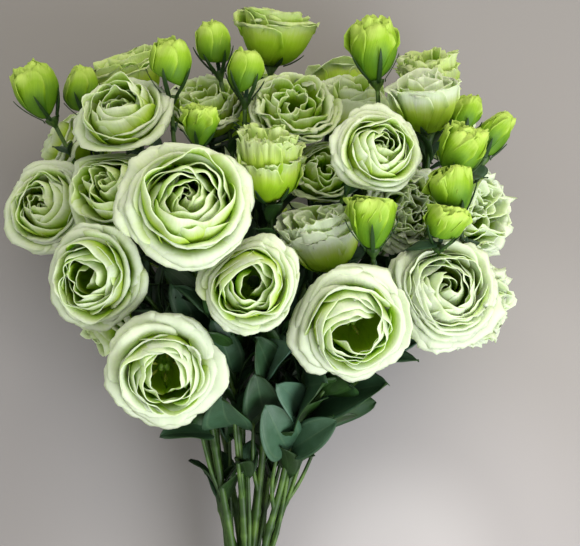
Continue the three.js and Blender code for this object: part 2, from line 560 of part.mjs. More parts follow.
// The routes of a stem and of its branches, which leave it one after another below its fork.
function stemRoutes(stem) {
  const tied = waistPoint(stem, TIE_Y);
  const fork = pictured(stem.fork);
  const halfway = tied.clone().lerp(fork, 0.5);
  const main = new THREE.CatmullRomCurve3([
    waistPoint(stem, CUT_Y),
    waistPoint(stem, (TIE_Y + CUT_Y) / 2),
    tied,
    halfway,
    fork,
  ]);
  const carried = [...stem.blooms.map((n) => blooms[n - 1]), ...stem.buds.map((n) => buds[n - 1])];
  const branches = carried.map((flower, index) => {
    const up = TOP_BRANCH - BRANCH_STEP * ((index * 2) % carried.length);
    const start = main.getPoint(up);
    const below = flower.isBud ? CALYX_DEPTH - 1 : CLEARANCE; // a bud stands in its cup
    const end = flower.base.clone().addScaledVector(flower.face, -below);
    const bend = BRANCH_BEND * end.distanceTo(start);
    const straight = end.clone().sub(start).normalize();
    const leaving = main.getTangent(up).multiplyScalar(BRANCH_LEAN).add(straight).normalize();
    const route = new THREE.CubicBezierCurve3(
      start,
      start.clone().addScaledVector(leaving, bend),
      end.clone().addScaledVector(flower.face, -bend),
      end,
    );
    return { flower, route };
  });
  return { main, branches };
}

// A stem with its branches. Each branch widens at its end into the green cup that a bloom sits in.
function bareStem({ main, branches }, clearance = 0) {
  const mainRings = MAIN_STOPS.map((at) => ({ at, radius: STEM_RADIUS - STEM_TAPER * at + clearance }));
  let solid = grownAlong(main, mainRings, MAIN_SIDES);
  for (const { flower, route } of branches) {
    const calyxFoot = 1 - CALYX_DEPTH / route.getLength();
    const radius = PEDICEL_RADIUS + clearance;
    const mouth = flower.isBud ? radius : flower.radius * CALYX_WIDTH + clearance;
    const bends = route.getLength() > LONG_BRANCH ? 3 : 2;
    const rings = Array.from({ length: bends + 1 }, (_, k) => ({ at: (calyxFoot * k) / bends, radius }));
    solid = solid.add(grownAlong(route, [...rings, { at: 1, radius: mouth }], BRANCH_SIDES));
    if (flower.isBud) solid = solid.add(placed(flower, budCalyx(flower, clearance)));
  }
  return solid;
}

function leafOn({ main }, leaf, clearance = 0) {
  const base = main.getPoint(leaf.up);
  const along = pictured(leaf.tip).sub(base);
  const length = along.length();
  along.normalize();
  const across = vector(leaf.face).cross(along).normalize();
  const upper = along.clone().cross(across);
  const place = new THREE.Matrix4().makeBasis(along, across, upper).setPosition(base);
  return solidOf(leafGeometry(length, leaf, clearance).applyMatrix4(place));
}

// Turns of twine round the waist, as one ribbed band.
function twineSolid() {
  const inner = OUTER_RING + STEM_RADIUS + CLEARANCE;
  const profile = [new THREE.Vector2(inner, -TWINE_TURNS * TWINE_RADIUS)];
  for (let k = 0; k < TWINE_TURNS; k++) {
    const middle = (2 * k + 1 - TWINE_TURNS) * TWINE_RADIUS;
    profile.push(new THREE.Vector2(inner + 2 * TWINE_RADIUS, middle));
    profile.push(new THREE.Vector2(inner + TWINE_RADIUS, middle + TWINE_RADIUS));
  }
  profile.push(new THREE.Vector2(inner, TWINE_TURNS * TWINE_RADIUS));
  profile.push(profile[0].clone());
  const band = new THREE.LatheGeometry(profile, TWINE_SIDES);
  return solidOf(band.translate(AXIS_X, TIE_Y, 0));
}

// Everything that would lie below the surface, as a block in the layout's frame.
function belowSurface() {
  const size = 900; // larger than the bunch
  const block = new THREE.BoxGeometry(size, size, size).translate(0, 0, -size / 2 - HEAD_HEIGHT);
  return solidOf(block.rotateX(-LAID_BACK));
}

// Where a piece crosses others, it gives way to them. Each other is given as it is, and with a
// little room round it.
function clearOf(solid, others) {
  const crossed = others.filter(({ real }) => solid.intersect(real).volume() > 0);
  return crossed.reduce((rest, { room }) => rest.subtract(room), solid);
}

const routes = STEMS.map(stemRoutes);
const bareStems = routes.map((route) => ({ real: bareStem(route), room: bareStem(route, CLEARANCE) }));
const block = belowSurface();
const surface = { real: block, room: block };

const pieces = flowers.map((flower, index) => {
  const shape = flower.isBud ? budGeometry(flower, index + 1) : bloomGeometry(flower, index + 1);
  const solid = clearOf(setInBunch(flower, shape), [...bareStems, surface]);
  return { name: flower.name, solid, colour: flower.colour, origin: flower.base };
});

// A leaf gives way to the other stems and to the leaves that are already in place.
const placedLeaves = [];
routes.forEach((route, index) => {
  const inTheWay = [...bareStems.filter((_, other) => other !== index), ...placedLeaves];
  let solid = bareStems[index].real;
  for (const leaf of LEAVES.filter(({ stem }) => stem === index + 1)) {
    const real = leafOn(route, leaf);
    solid = solid.add(clearOf(real, inTheWay));
    placedLeaves.push({ real, room: leafOn(route, leaf, CLEARANCE) });
  }
  const origin = waistPoint(STEMS[index], TIE_Y);
  solid = clearOf(solid, [surface]);
  pieces.push({ name: numbered("leafy_stem", index), solid, colour: COLOURS.green, origin });
});

pieces.push({
  name: "twine_tie",
  solid: clearOf(twineSolid(), bareStems),
  colour: COLOURS.twine,
  origin: new THREE.Vector3(AXIS_X, TIE_Y, 0),
});

function meshOf({ name, solid, colour, origin }) {
  const geometry = geometryOf(largestBody(solid)).translate(-origin.x, -origin.y, -origin.z);
  const mesh = new THREE.Mesh(geometry, new THREE.MeshStandardMaterial({ ...colour, flatShading: true }));
  mesh.name = name;
  mesh.position.copy(origin);
  return mesh;
}

// Laid down on its back, with the middle of its footprint at the origin.
const group = new THREE.Group();
group.name = "lisianthus_bunch";
for (const piece of pieces) group.add(meshOf(piece));
group.rotation.x = LAID_BACK;
group.position.z = HEAD_HEIGHT;
const footprint = new THREE.Box3().setFromObject(group, true).getCenter(new THREE.Vector3());
group.position.x -= footprint.x;
group.position.y -= footprint.y;

export default group;
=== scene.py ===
"""A hand-tied bunch of double lisianthus, laid on its back on a pale table in soft light.

The bunch is laid out upright, in millimetres, as it is pictured: x to the right, y up along the
stems, z towards the viewer. Every point is then laid back into the frame, in metres.
"""
import math
import random
from collections import namedtuple

import bmesh
import bpy
from mathutils import Matrix, Vector


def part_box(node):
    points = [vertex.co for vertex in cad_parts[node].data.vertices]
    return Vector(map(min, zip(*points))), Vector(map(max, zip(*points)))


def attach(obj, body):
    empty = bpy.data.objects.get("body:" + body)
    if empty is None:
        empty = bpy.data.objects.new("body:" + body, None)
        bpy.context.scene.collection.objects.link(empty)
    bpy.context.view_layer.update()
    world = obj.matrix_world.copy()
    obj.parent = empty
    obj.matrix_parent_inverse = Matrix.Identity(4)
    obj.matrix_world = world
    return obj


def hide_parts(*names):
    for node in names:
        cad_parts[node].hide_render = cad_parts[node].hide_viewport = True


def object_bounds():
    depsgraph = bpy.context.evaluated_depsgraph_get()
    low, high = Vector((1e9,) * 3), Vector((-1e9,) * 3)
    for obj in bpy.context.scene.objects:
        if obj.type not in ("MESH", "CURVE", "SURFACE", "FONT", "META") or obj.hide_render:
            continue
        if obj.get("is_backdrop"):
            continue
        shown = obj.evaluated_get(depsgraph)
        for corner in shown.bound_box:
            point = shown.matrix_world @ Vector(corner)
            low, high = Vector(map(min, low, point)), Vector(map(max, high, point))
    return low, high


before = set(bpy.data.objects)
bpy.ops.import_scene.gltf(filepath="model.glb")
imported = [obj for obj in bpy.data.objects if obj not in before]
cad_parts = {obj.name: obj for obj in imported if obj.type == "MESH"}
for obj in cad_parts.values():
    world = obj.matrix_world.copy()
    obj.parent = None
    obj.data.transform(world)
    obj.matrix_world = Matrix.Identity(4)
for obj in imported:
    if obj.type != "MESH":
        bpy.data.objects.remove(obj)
cad_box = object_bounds()

# ---------------------------------------------------------------- the bunch's layout
MM = 0.001
PICTURE_CENTRE = Vector((290, 273))  # pixels
MM_PER_PIXEL = 0.58  # at the depth of the bunch's own axis
VIEW_DISTANCE = 1000  # from the viewer to the bunch's axis

LAID_BACK = math.radians(10)  # slope of the stems as the bunch lies
HEAD_HEIGHT = 72  # height of the layout's origin above the surface

AXIS_X = -24  # where the stems gather, left of the picture's centre
TIE_Y = -176  # height of the tie in the layout
CUT_Y = -290  # where the stems are cut
SPLAY = 1.9  # how much wider the cut ends stand than the tied waist
WAIST_TWIST = math.radians(35)  # the stems spiral through the tie
OUTER_RING = 10.6  # radius of the ring of nine stems at the tie
INNER_RING = 3.7  # and of the three stems inside it
CLEARANCE = 0.35  # between pieces that touch

# x, y: pixels of the picture. depth: mm in front of the bunch's axis. radius: mm.
# face: the way a flower looks, to the right, up and towards the viewer.
Bloom = namedtuple("Bloom", "x y depth radius face form")
BLOOMS = [
    Bloom(187, 206, 106, 39.5, (0.1, 0.22, 1), "rose"),
    Bloom(250, 283, 98, 31, (-0.1, -0.05, 1), "loose"),
    Bloom(351, 322, 92, 36, (0.12, -0.3, 1), "hollow"),
    Bloom(164, 368, 80, 35, (0.02, -0.3, 1), "hollow"),
    Bloom(96, 276, 66, 32, (-0.35, -0.1, 1), "loose"),
    Bloom(50, 209, 18, 31, (-0.35, 0.3, 1), "rose"),
    Bloom(124, 119, 46, 32, (-0.25, 0.65, 0.9), "rose"),
    Bloom(116, 190, 50, 33, (-0.4, 0.35, 1), "tucked"),
    Bloom(293, 108, 34, 29, (0.15, 0.7, 1), "ruffled"),
    Bloom(354, 86, 6, 24, (-0.05, 1, 0.4), "cup"),
    Bloom(276, 24, -2, 26, (0.12, 1, 0.25), "saucer"),
    Bloom(376, 152, 80, 28.5, (0.3, 0.3, 1), "rose"),
    Bloom(425, 86, 48, 21, (-0.12, 1, 0.35), "goblet"),
    Bloom(427, 64, 4, 20, (-0.1, 1, 0.35), "young"),
    Bloom(442, 292, 76, 35, (0.22, 0.25, 1), "layered"),
    Bloom(467, 212, 16, 34, (0.7, 0.05, 1), "fringed"),
    Bloom(474, 308, 22, 29, (0.9, -0.35, 0.8), "fringed"),
    Bloom(316, 222, 66, 23, (-0.35, 0.9, 0.6), "folded"),
    Bloom(269, 139, 72, 20, (-0.03, 1, 0.3), "young"),
    Bloom(322, 170, 34, 26, (0.1, 0.5, 1), "ruffled"),
    Bloom(408, 210, 46, 28, (0.3, 0.15, 1), "fringed"),
    Bloom(206, 105, 20, 27, (-0.12, 0.85, 0.75), "ruffled"),
    Bloom(124, 70, -26, 27, (-0.35, 1, 0.25), "saucer"),
    Bloom(68, 150, -22, 26, (-1, 0.45, 0.2), "tucked"),
    Bloom(106, 320, 18, 27, (-0.7, -0.75, 0.35), "tucked"),
    # Round the back, where the bunch lies on its flowers.
    Bloom(146, 222, -66, 35, (-0.45, -0.3, -1), "tucked"),
    Bloom(258, 120, -76, 34, (-0.05, 0.5, -1), "tucked"),
    Bloom(392, 196, -72, 36, (0.5, 0.1, -1), "tucked"),
    Bloom(282, 250, -68, 34, (0.1, -0.4, -1), "tucked"),
    Bloom(80, 150, -64, 30, (-0.9, 0.4, -0.6), "tucked"),
    Bloom(345, 98, -54, 30, (0.2, 0.7, -1), "tucked"),
    Bloom(440, 128, -40, 31, (0.8, 0.6, -0.4), "tucked"),
    Bloom(432, 284, -42, 32, (0.8, -0.4, -0.6), "tucked"),
    Bloom(128, 300, -38, 31, (-0.7, -0.6, -0.6), "tucked"),
]

# A bud's x and y are its middle. length and radius in mm. open: 0 shut, 1 its tip spread.
Bud = namedtuple("Bud", "x y depth length radius face open")
BUDS = [
    Bud(38, 92, 4, 34, 12.5, (-0.45, 0.9, 0.15), 0.5),
    Bud(81, 92, -6, 29, 11, (-0.25, 1, 0.1), 0.3),
    Bud(170, 68, 48, 31, 11, (-0.03, 1, 0.15), 0.3),
    Bud(214, 47, 24, 28, 9.5, (-0.2, 1, 0.15), 0.2),
    Bud(246, 74, 42, 27, 10, (0.03, 1, 0.12), 0.1),
    Bud(374, 50, 42, 34, 13, (-0.1, 1, 0.2), 0.6),
    Bud(465, 117, 26, 25, 9, (0.05, 1, 0), 0.6),
    Bud(491, 134, 24, 27, 10, (0.3, 1, -0.05), 0.8),
    Bud(460, 153, 70, 30, 12, (0.3, 1, 0.3), 0.8),
    Bud(452, 189, 84, 30, 11.5, (-0.25, 0.9, 0.4), 0.9),
    Bud(445, 224, 94, 27, 10.5, (0.2, 0.85, 0.5), 0.9),
    Bud(372, 219, 100, 32, 12, (-0.05, 0.95, 0.35), 0.8),
    Bud(200, 126, 70, 21, 9, (0.05, 1, 0.25), 1),
]

# Each stem: its place at the tie (ring, angle in degrees, 90 is the front), the place where it
# stops being one stem (pixels, depth), and the blooms and buds that its branches carry.
Stem = namedtuple("Stem", "ring angle fork blooms buds")
STEMS = [
    Stem(OUTER_RING, 130, (203, 372, 22), (4, 5), ()),
    Stem(OUTER_RING, 90, (232, 352, 30), (2, 1), (13,)),
    Stem(OUTER_RING, 50, (306, 378, 28), (3, 15), (12,)),
    Stem(OUTER_RING, 210, (190, 352, -10), (25, 6, 24), (1,)),
    Stem(OUTER_RING, 170, (206, 332, 4), (8, 7), (3,)),
    Stem(INNER_RING, 60, (272, 345, 22), (18, 19, 20, 12), ()),
    Stem(INNER_RING, 180, (242, 330, 4), (22, 9, 11), (5, 4)),
    Stem(INNER_RING, 300, (292, 335, -14), (10, 13, 14), (6,)),
    Stem(OUTER_RING, 10, (318, 358, 8), (21,), (11, 10, 9, 7, 8)),
    Stem(OUTER_RING, 330, (324, 368, -24), (17, 33, 16), ()),
    Stem(OUTER_RING, 250, (214, 350, -30), (34, 26, 30, 23), (2,)),
    Stem(OUTER_RING, 290, (274, 350, -34), (29, 28, 27, 32, 31), ()),
]

# Each leaf: its stem, how far up it (0 the cut end, 1 the fork), the place of its tip, the way its
# upper face looks, its width and bow as shares of its length, and how waxy blue-green it is.
Leaf = namedtuple("Leaf", "stem up tip face width bow wax")
LEAVES = [
    Leaf(3, 0.82, (265, 405, 50), (0.2, 0.2, 1), 0.62, 0.1, 0.5),
    Leaf(3, 0.82, (337, 421, 40), (-0.2, 0.4, 1), 0.55, 0.1, 0.4),
    Leaf(3, 0.9, (277, 384, 58), (0.4, 0.2, 1), 0.5, 0.1, 0.8),
    Leaf(9, 0.87, (388, 384, 30), (-0.2, 0.7, 0.8), 0.62, 0.1, 0.3),
    Leaf(9, 0.9, (325, 383, 62), (-0.2, 0.3, 1), 0.85, 0.1, 0.25),
    Leaf(10, 0.86, (376, 402, -24), (0.2, 0.3, -1), 0.5, 0.1, 0.5),
    Leaf(10, 0.95, (420, 342, 2), (0, 0.8, 0.5), 0.4, 0.1, 0.6),
    Leaf(6, 0.94, (293, 350, 62), (0, 0.4, 1), 0.5, 0.1, 0.95),
    Leaf(6, 0.85, (256, 374, 52), (0, 0.3, 1), 0.55, 0.12, 0.1),
    Leaf(6, 0.93, (256, 338, 62), (0.2, 0.3, 1), 0.45, 0.1, 0.1),
    Leaf(2, 0.84, (222, 398, 58), (-0.2, 0.3, 1), 0.7, 0.1, 0.3),
    Leaf(2, 0.95, (212, 320, 50), (0.2, 0.5, 1), 0.5, 0.1, 0.2),
    Leaf(1, 0.85, (160, 436, 34), (-0.2, 0.8, 0.7), 0.5, 0.1, 0.15),
    Leaf(4, 0.86, (148, 412, -26), (-0.2, 0.4, -1), 0.5, 0.1, 0.4),
    Leaf(5, 0.96, (172, 284, 44), (0.1, 0.4, 1), 0.5, 0.1, 0.1),
    Leaf(8, 0.88, (308, 366, -46), (0.1, 0.4, -1), 0.6, 0.1, 0.5),
    Leaf(11, 0.82, (184, 398, -46), (-0.2, 0.3, -1), 0.6, 0.1, 0.5),
    Leaf(11, 0.92, (160, 346, -50), (-0.2, 0.3, -1), 0.55, 0.1, 0.5),
    Leaf(12, 0.84, (316, 402, -46), (0.2, 0.3, -1), 0.6, 0.1, 0.5),
    Leaf(12, 0.82, (240, 390, -50), (-0.1, 0.3, -1), 0.6, 0.1, 0.5),
]

# How a kind of flower is built. openness: 0 a closed cup, 1 petals laid open. height: times its
# radius. ruffle: how wavy the rims are. frill: how finely they are crimped. pale: how white the
# rims turn, 0 lime and 1 white, and above 1 the green feet turn paler too. wrap: how far the middle
# petals lean in over the heart, as a share of the radius. whorls, from the outside in: how far out
# each one reaches, how many petals it has, and how tall it stands next to a plain bowl of petals.
Form = namedtuple("Form", "openness height ruffle frill pale wrap whorls")
FORMS = {
    "rose": Form(
        0.9, 1.1, 1, 0.9, 1, 0.2,
        ((1, 5, 1), (0.94, 4, 1), (0.86, 3, 1), (0.7, 3, 1.04), (0.5, 3, 1.1), (0.43, 3, 0.93),
         (0.36, 2, 1.12), (0.3, 3, 0.94), (0.23, 2, 1.08), (0.14, 3, 0.99), (0.07, 2, 0.97),
         (0, 3, 0.93)),
    ),
    "layered": Form(
        0.9, 1.1, 0.75, 1.5, 1.32, 0.18,
        ((1, 5, 1), (0.95, 5, 1), (0.89, 4, 1), (0.82, 4, 1), (0.73, 4, 1.02), (0.63, 3, 1.03),
         (0.52, 3, 1.04), (0.46, 3, 0.95), (0.4, 3, 1.04), (0.34, 3, 0.95), (0.28, 2, 1.05),
         (0.18, 2, 1.02), (0.09, 2, 0.98), (0, 3, 0.94)),
    ),
    "loose": Form(
        0.85, 1.1, 0.95, 0.9, 1, 0.18,
        ((1, 5, 1), (0.93, 4, 1), (0.82, 3, 1), (0.64, 3, 1.06), (0.47, 3, 1.1), (0.4, 3, 0.96),
         (0.33, 2, 1.1), (0.24, 2, 1.04), (0.12, 2, 0.92)),
    ),
    "tucked": Form(
        0.9, 1.1, 1.2, 0.9, 0.95, 0.12,
        ((1, 5, 1), (0.93, 5, 1), (0.78, 4, 1), (0.55, 4, 1), (0.38, 3, 1), (0.22, 3, 1),
         (0.1, 3, 0.98), (0.03, 3, 0.96)),
    ),
    "hollow": Form(
        0.95, 1.05, 0.9, 0.9, 1.1, 0.17,
        ((1, 5, 1), (0.95, 4, 1), (0.87, 4, 1), (0.66, 3, 1.04), (0.5, 3, 1.1), (0.43, 3, 0.97),
         (0.35, 3, 1.1), (0.28, 2, 1.12), (0.17, 1, 1.08)),
    ),
    "fringed": Form(
        0.8, 1.1, 1.9, 3, 1.3, 0.05,
        ((1, 6, 1), (0.92, 6, 1), (0.82, 5, 1), (0.7, 5, 1.02), (0.57, 4, 1.02), (0.44, 4, 1.02),
         (0.32, 3, 1), (0.2, 3, 1), (0.08, 3, 1)),
    ),
    "ruffled": Form(
        0.65, 1.2, 2, 1.5, 0.92, 0.04,
        ((1, 5, 1.05), (0.9, 5, 1.05), (0.74, 4, 1.02), (0.56, 4, 1), (0.38, 3, 1), (0.2, 3, 0.97)),
    ),
    "saucer": Form(
        0.5, 1.4, 1.2, 1, 0.75, 0.06,
        ((1, 4, 1.12), (0.9, 4, 1.14), (0.74, 4, 1.06), (0.54, 3, 0.98), (0.34, 3, 0.95),
         (0.18, 3, 0.92)),
    ),
    "goblet": Form(
        0.35, 1.7, 1.2, 1.4, 1.1, 0.06,
        ((1, 4, 1), (0.9, 4, 1.02), (0.72, 3, 1), (0.52, 3, 1), (0.32, 3, 1), (0.1, 3, 0.95)),
    ),
    "folded": Form(
        0.32, 1.75, 2.6, 2.2, 1.08, 0.04,
        ((1, 5, 0.96), (0.92, 5, 1.04), (0.76, 4, 1.06), (0.58, 4, 1.06), (0.4, 3, 1.04),
         (0.2, 3, 0.98)),
    ),
    "cup": Form(
        0.12, 1.8, 1, 1.2, 0.95, 0.06,
        ((1, 4, 1), (0.87, 4, 1), (0.7, 3, 1), (0.5, 3, 1), (0.3, 3, 1), (0.04, 3, 0.95)),
    ),
    "young": Form(
        0.3, 2.3, 1.5, 5, 0.77, 0,
        ((1, 4, 0.62), (0.92, 5, 0.94), (0.84, 4, 1.04), (0.66, 4, 1.03), (0.42, 4, 1),
         (0.2, 3, 0.95)),
    ),
}
PETALS_IN_RING = 5  # of a wild flower, which still shows in its sepals and stamens


# ---------------------------------------------------------------- places
tie_low, tie_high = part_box("twine_tie")
tie_middle = (tie_low + tie_high) / 2
laid_down = Matrix.Translation(
    (
        tie_middle.x - AXIS_X * MM,
        tie_middle.y - TIE_Y * MM * math.cos(LAID_BACK),
        HEAD_HEIGHT * MM,
    )
) @ Matrix.Rotation(LAID_BACK, 4, "X") @ Matrix.Scale(MM, 4)


def pictured(x, y, depth):
    """The point that a pixel of the picture shows, at a given depth."""
    scale = MM_PER_PIXEL * (1 - depth / VIEW_DISTANCE)
    return Vector(((x - PICTURE_CENTRE.x) * scale, (PICTURE_CENTRE.y - y) * scale, depth))


def smooth(value, low, high):
    """0 below low and 1 above high, with a soft change between them."""
    t = min(1, max(0, (value - low) / (high - low)))
    return t * t * (3 - 2 * t)


def mix(a, b, share):
    return a + (b - a) * share


def bezier(points, t):
    a, b, c, d = points
    s = 1 - t
    return a * s**3 + b * (3 * s * s * t) + c * (3 * s * t * t) + d * t**3


def bezier_heading(points, t):
    a, b, c, d = points
    s = 1 - t
    return ((b - a) * (s * s) + (c - b) * (2 * s * t) + (d - c) * (t * t)).normalized()


def through(points, t):
    """A smooth curve through points, from the first at t = 0 to the last at t = 1."""
    place = min(max(t, 0), 1) * (len(points) - 1)
    i = min(int(place), len(points) - 2)
    w = place - i
    before = points[i - 1] if i else points[0] * 2 - points[1]
    after = points[i + 2] if i + 2 < len(points) else points[-1] * 2 - points[-2]
    a, b = points[i], points[i + 1]
    bend = (before * 2 - a * 5 + b * 4 - after) * (w * w) + (a * 3 - before - b * 3 + after) * w**3
    return a + ((b - before) * w + bend) * 0.5


def heading_through(points, t):
    """The way that such a curve runs, as it comes up to t."""
    return (through(points, t) - through(points, t - 0.02)).normalized()


# ---------------------------------------------------------------- materials
SHEEN = 0.3  # specular level of fresh plant skin
SAP_SHARE = 0.85  # how much of the blade's own colour the light takes that comes through it
VEIN_RELIEF, RIB_RELIEF, GRAIN_RELIEF = 0.0005, 0.0004, 0.0003  # m: how high each stands

PETAL_GLOW = "#dcf464"
PETAL_STOPS = (
    (0, "#92bc18"), (0.24, "#b0d428"), (0.48, "#cae058"), (0.74, "#dde8a8"), (1, "#eef1e6"),
)
BUD_STOPS = ((0, "#3f6c04"), (0.35, "#648e0e"), (0.7, "#88ae1e"), (1, "#b6cf60"))
PETAL_VEINS = (40, 2.5, 1)  # across a petal, about 1 mm apart, and their breaks along it
PETAL_PATCH = 0.008  # m: the width of paler and of greener tissue
VEIN_CONTRAST = 0.24
PATCH_CONTRAST = 0.3
MEAN_PATTERN = 0.26  # what veins and patches add on average

LEAF_GLOW = "#a8d860"
LEAF_STOPS = ((0, "#142a0a"), (0.3, "#1f3c10"), (0.65, "#243f28"), (1, "#2c4a3a"))
UNDERSIDE_STOPS = ((0, "#21391f"), (0.4, "#2f4d35"), (1, "#4c6b57"))
LEAF_NET = 0.0022  # m: the width of a mesh of its fine net
WORN_PATCH = 0.006  # m: the width of the places where its wax is rubbed off

STALK_STOPS = ((0.2, "#122508"), (0.5, "#27420f"), (0.8, "#55722a"))
STALK_RIBS = (14, 3, 1)  # round a stem, and their breaks along it
STALK_PATCH = 0.012  # m


def colour(hex_value):
    """An sRGB hex colour as the linear one that the shaders take."""
    parts = [int(hex_value[i : i + 2], 16) / 255 for i in (1, 3, 5)]
    return tuple(c / 12.92 if c <= 0.04045 else ((c + 0.055) / 1.055) ** 2.4 for c in parts) + (1,)


def add_node(tree, kind, stops=(), inputs=None, **settings):
    """Adds a node, with its settings, its ramp's colours and its inputs set or linked."""
    node = tree.nodes.new("ShaderNode" + kind)
    for name, value in settings.items():
        setattr(node, name, value)
    for index, (place, shade) in enumerate(stops):
        elements = node.color_ramp.elements
        element = elements[index] if index < len(elements) else elements.new(place)
        element.position = place
        element.color = colour(shade)
    for name, value in (inputs or {}).items():
        if isinstance(value, bpy.types.NodeSocket):
            tree.links.new(value, node.inputs[name])
        else:
            node.inputs[name].default_value = value
    return node


def new_material(name):
    material = bpy.data.materials.new(name)
    material.use_nodes = True
    material.node_tree.nodes.clear()
    return material, material.node_tree


def thin_surface(tree, shade, bump, see_through, glow, roughness):
    """A thin, fresh, water-filled blade: it scatters light back and lets some of it through, and
    what comes through has taken the colour of the sap."""
    skin = add_node(
        tree, "BsdfPrincipled",
        inputs={
            "Base Color": shade, "Normal": bump, "Roughness": roughness, "Specular IOR Level": SHEEN,
        },
    )
    filtered = add_node(
        tree, "Mix", data_type="RGBA", blend_type="MULTIPLY",
        inputs={0: SAP_SHARE, 6: shade, 7: colour(glow)},
    )
    through_light = add_node(
        tree, "BsdfTranslucent", inputs={"Color": filtered.outputs[2], "Normal": bump}
    )
    both = add_node(
        tree, "MixShader", inputs={0: see_through, 1: skin.outputs[0], 2: through_light.outputs[0]}
    )
    add_node(tree, "OutputMaterial", inputs={"Surface": both.outputs[0]})


def petal_material(name, stops, see_through):
    """Fresh petal: matte and slightly see-through, green at the foot and pale at the rim."""
    material, tree = new_material(name)
    pale = add_node(tree, "Attribute", attribute_name="pale")
    place = add_node(tree, "UVMap", uv_map="blade")
    drawn_out = add_node(tree, "Mapping", inputs={"Vector": place.outputs[0], "Scale": PETAL_VEINS})
    veins = add_node(
        tree, "TexNoise", inputs={"Vector": drawn_out.outputs[0], "Scale": 1, "Detail": 3}
    )
    where = add_node(tree, "TexCoord")
    patches = add_node(
        tree, "TexNoise",
        inputs={"Vector": where.outputs["Object"], "Scale": 1 / PETAL_PATCH, "Detail": 2},
    )
    veined = add_node(
        tree, "Math", operation="MULTIPLY_ADD",
        inputs={0: veins.outputs[0], 1: VEIN_CONTRAST, 2: pale.outputs["Fac"]},
    )
    mottled = add_node(
        tree, "Math", operation="MULTIPLY_ADD",
        inputs={0: patches.outputs[0], 1: PATCH_CONTRAST, 2: veined.outputs[0]},
    )
    level = add_node(
        tree, "Math", operation="SUBTRACT", inputs={0: mottled.outputs[0], 1: MEAN_PATTERN}
    )
    shade = add_node(tree, "ValToRGB", stops=stops, inputs={"Fac": level.outputs[0]})
    bump = add_node(
        tree, "Bump", inputs={"Height": veins.outputs[0], "Strength": 0.45, "Distance": VEIN_RELIEF}
    )
    thin_surface(tree, shade.outputs[0], bump.outputs[0], see_through, PETAL_GLOW, 0.55)
    return material


def leaf_material(name, blade_stops, rib_colour):
    """Leaf: a dark green blade under a blue-grey wax, with a few long veins and a fine net."""
    material, tree = new_material(name)
    where = add_node(tree, "TexCoord")
    wax = add_node(tree, "Attribute", attribute_name="wax")
    worn = add_node(
        tree, "TexNoise",
        inputs={"Vector": where.outputs["Object"], "Scale": 1 / WORN_PATCH, "Detail": 4},
    )
    patchy = add_node(
        tree, "Math", operation="MULTIPLY_ADD",
        inputs={0: worn.outputs[0], 1: 0.5, 2: wax.outputs["Fac"]},
    )
    level = add_node(
        tree, "Math", operation="SUBTRACT", use_clamp=True, inputs={0: patchy.outputs[0], 1: 0.25}
    )
    blade = add_node(tree, "ValToRGB", stops=blade_stops, inputs={"Fac": level.outputs[0]})

    place = add_node(tree, "UVMap", uv_map="blade")
    ribs = add_node(
        tree, "TexWave", bands_direction="X",
        inputs={
            "Vector": place.outputs[0], "Scale": 0.8, "Phase Offset": math.pi / 2, "Distortion": 0.4,
        },
    )
    rib_share = add_node(
        tree, "MapRange",
        inputs={"Value": ribs.outputs[0], "From Min": 0.93, "From Max": 1, "To Max": 0.2},
    )
    shade = add_node(
        tree, "Mix", data_type="RGBA",
        inputs={0: rib_share.outputs[0], 6: blade.outputs[0], 7: colour(rib_colour)},
    )
    net = add_node(
        tree, "TexVoronoi", feature="DISTANCE_TO_EDGE",
        inputs={"Vector": where.outputs["Object"], "Scale": 1 / LEAF_NET},
    )
    net_height = add_node(tree, "Math", operation="MINIMUM", inputs={0: net.outputs[0], 1: 0.15})
    height = add_node(
        tree, "Math", operation="MULTIPLY_ADD",
        inputs={0: rib_share.outputs[0], 1: -1.5, 2: net_height.outputs[0]},
    )
    bump = add_node(
        tree, "Bump", inputs={"Height": height.outputs[0], "Strength": 0.35, "Distance": VEIN_RELIEF}
    )
    thin_surface(tree, shade.outputs[2], bump.outputs[0], 0.1, LEAF_GLOW, 0.5)
    return material


def stem_material():
    """Green stem: smooth and satin, ribbed lengthwise, paler where it is waxy."""
    material, tree = new_material("green_stem")
    place = add_node(tree, "UVMap", uv_map="blade")
    drawn_out = add_node(tree, "Mapping", inputs={"Vector": place.outputs[0], "Scale": STALK_RIBS})
    ribs = add_node(
        tree, "TexNoise", inputs={"Vector": drawn_out.outputs[0], "Scale": 1, "Detail": 2}
    )
    where = add_node(tree, "TexCoord")
    patches = add_node(
        tree, "TexNoise",
        inputs={"Vector": where.outputs["Object"], "Scale": 1 / STALK_PATCH, "Detail": 3},
    )
    ribbed = add_node(
        tree, "Math", operation="MULTIPLY_ADD", inputs={0: ribs.outputs[0], 1: 0.45, 2: -0.22}
    )
    level = add_node(
        tree, "Math", operation="ADD", inputs={0: ribbed.outputs[0], 1: patches.outputs[0]}
    )
    shade = add_node(tree, "ValToRGB", stops=STALK_STOPS, inputs={"Fac": level.outputs[0]})
    bump = add_node(
        tree, "Bump", inputs={"Height": ribs.outputs[0], "Strength": 0.3, "Distance": RIB_RELIEF}
    )
    skin = add_node(
        tree, "BsdfPrincipled",
        inputs={
            "Base Color": shade.outputs[0], "Normal": bump.outputs[0], "Roughness": 0.5,
            "Specular IOR Level": SHEEN,
        },
    )
    add_node(tree, "OutputMaterial", inputs={"Surface": skin.outputs[0]})
    return material


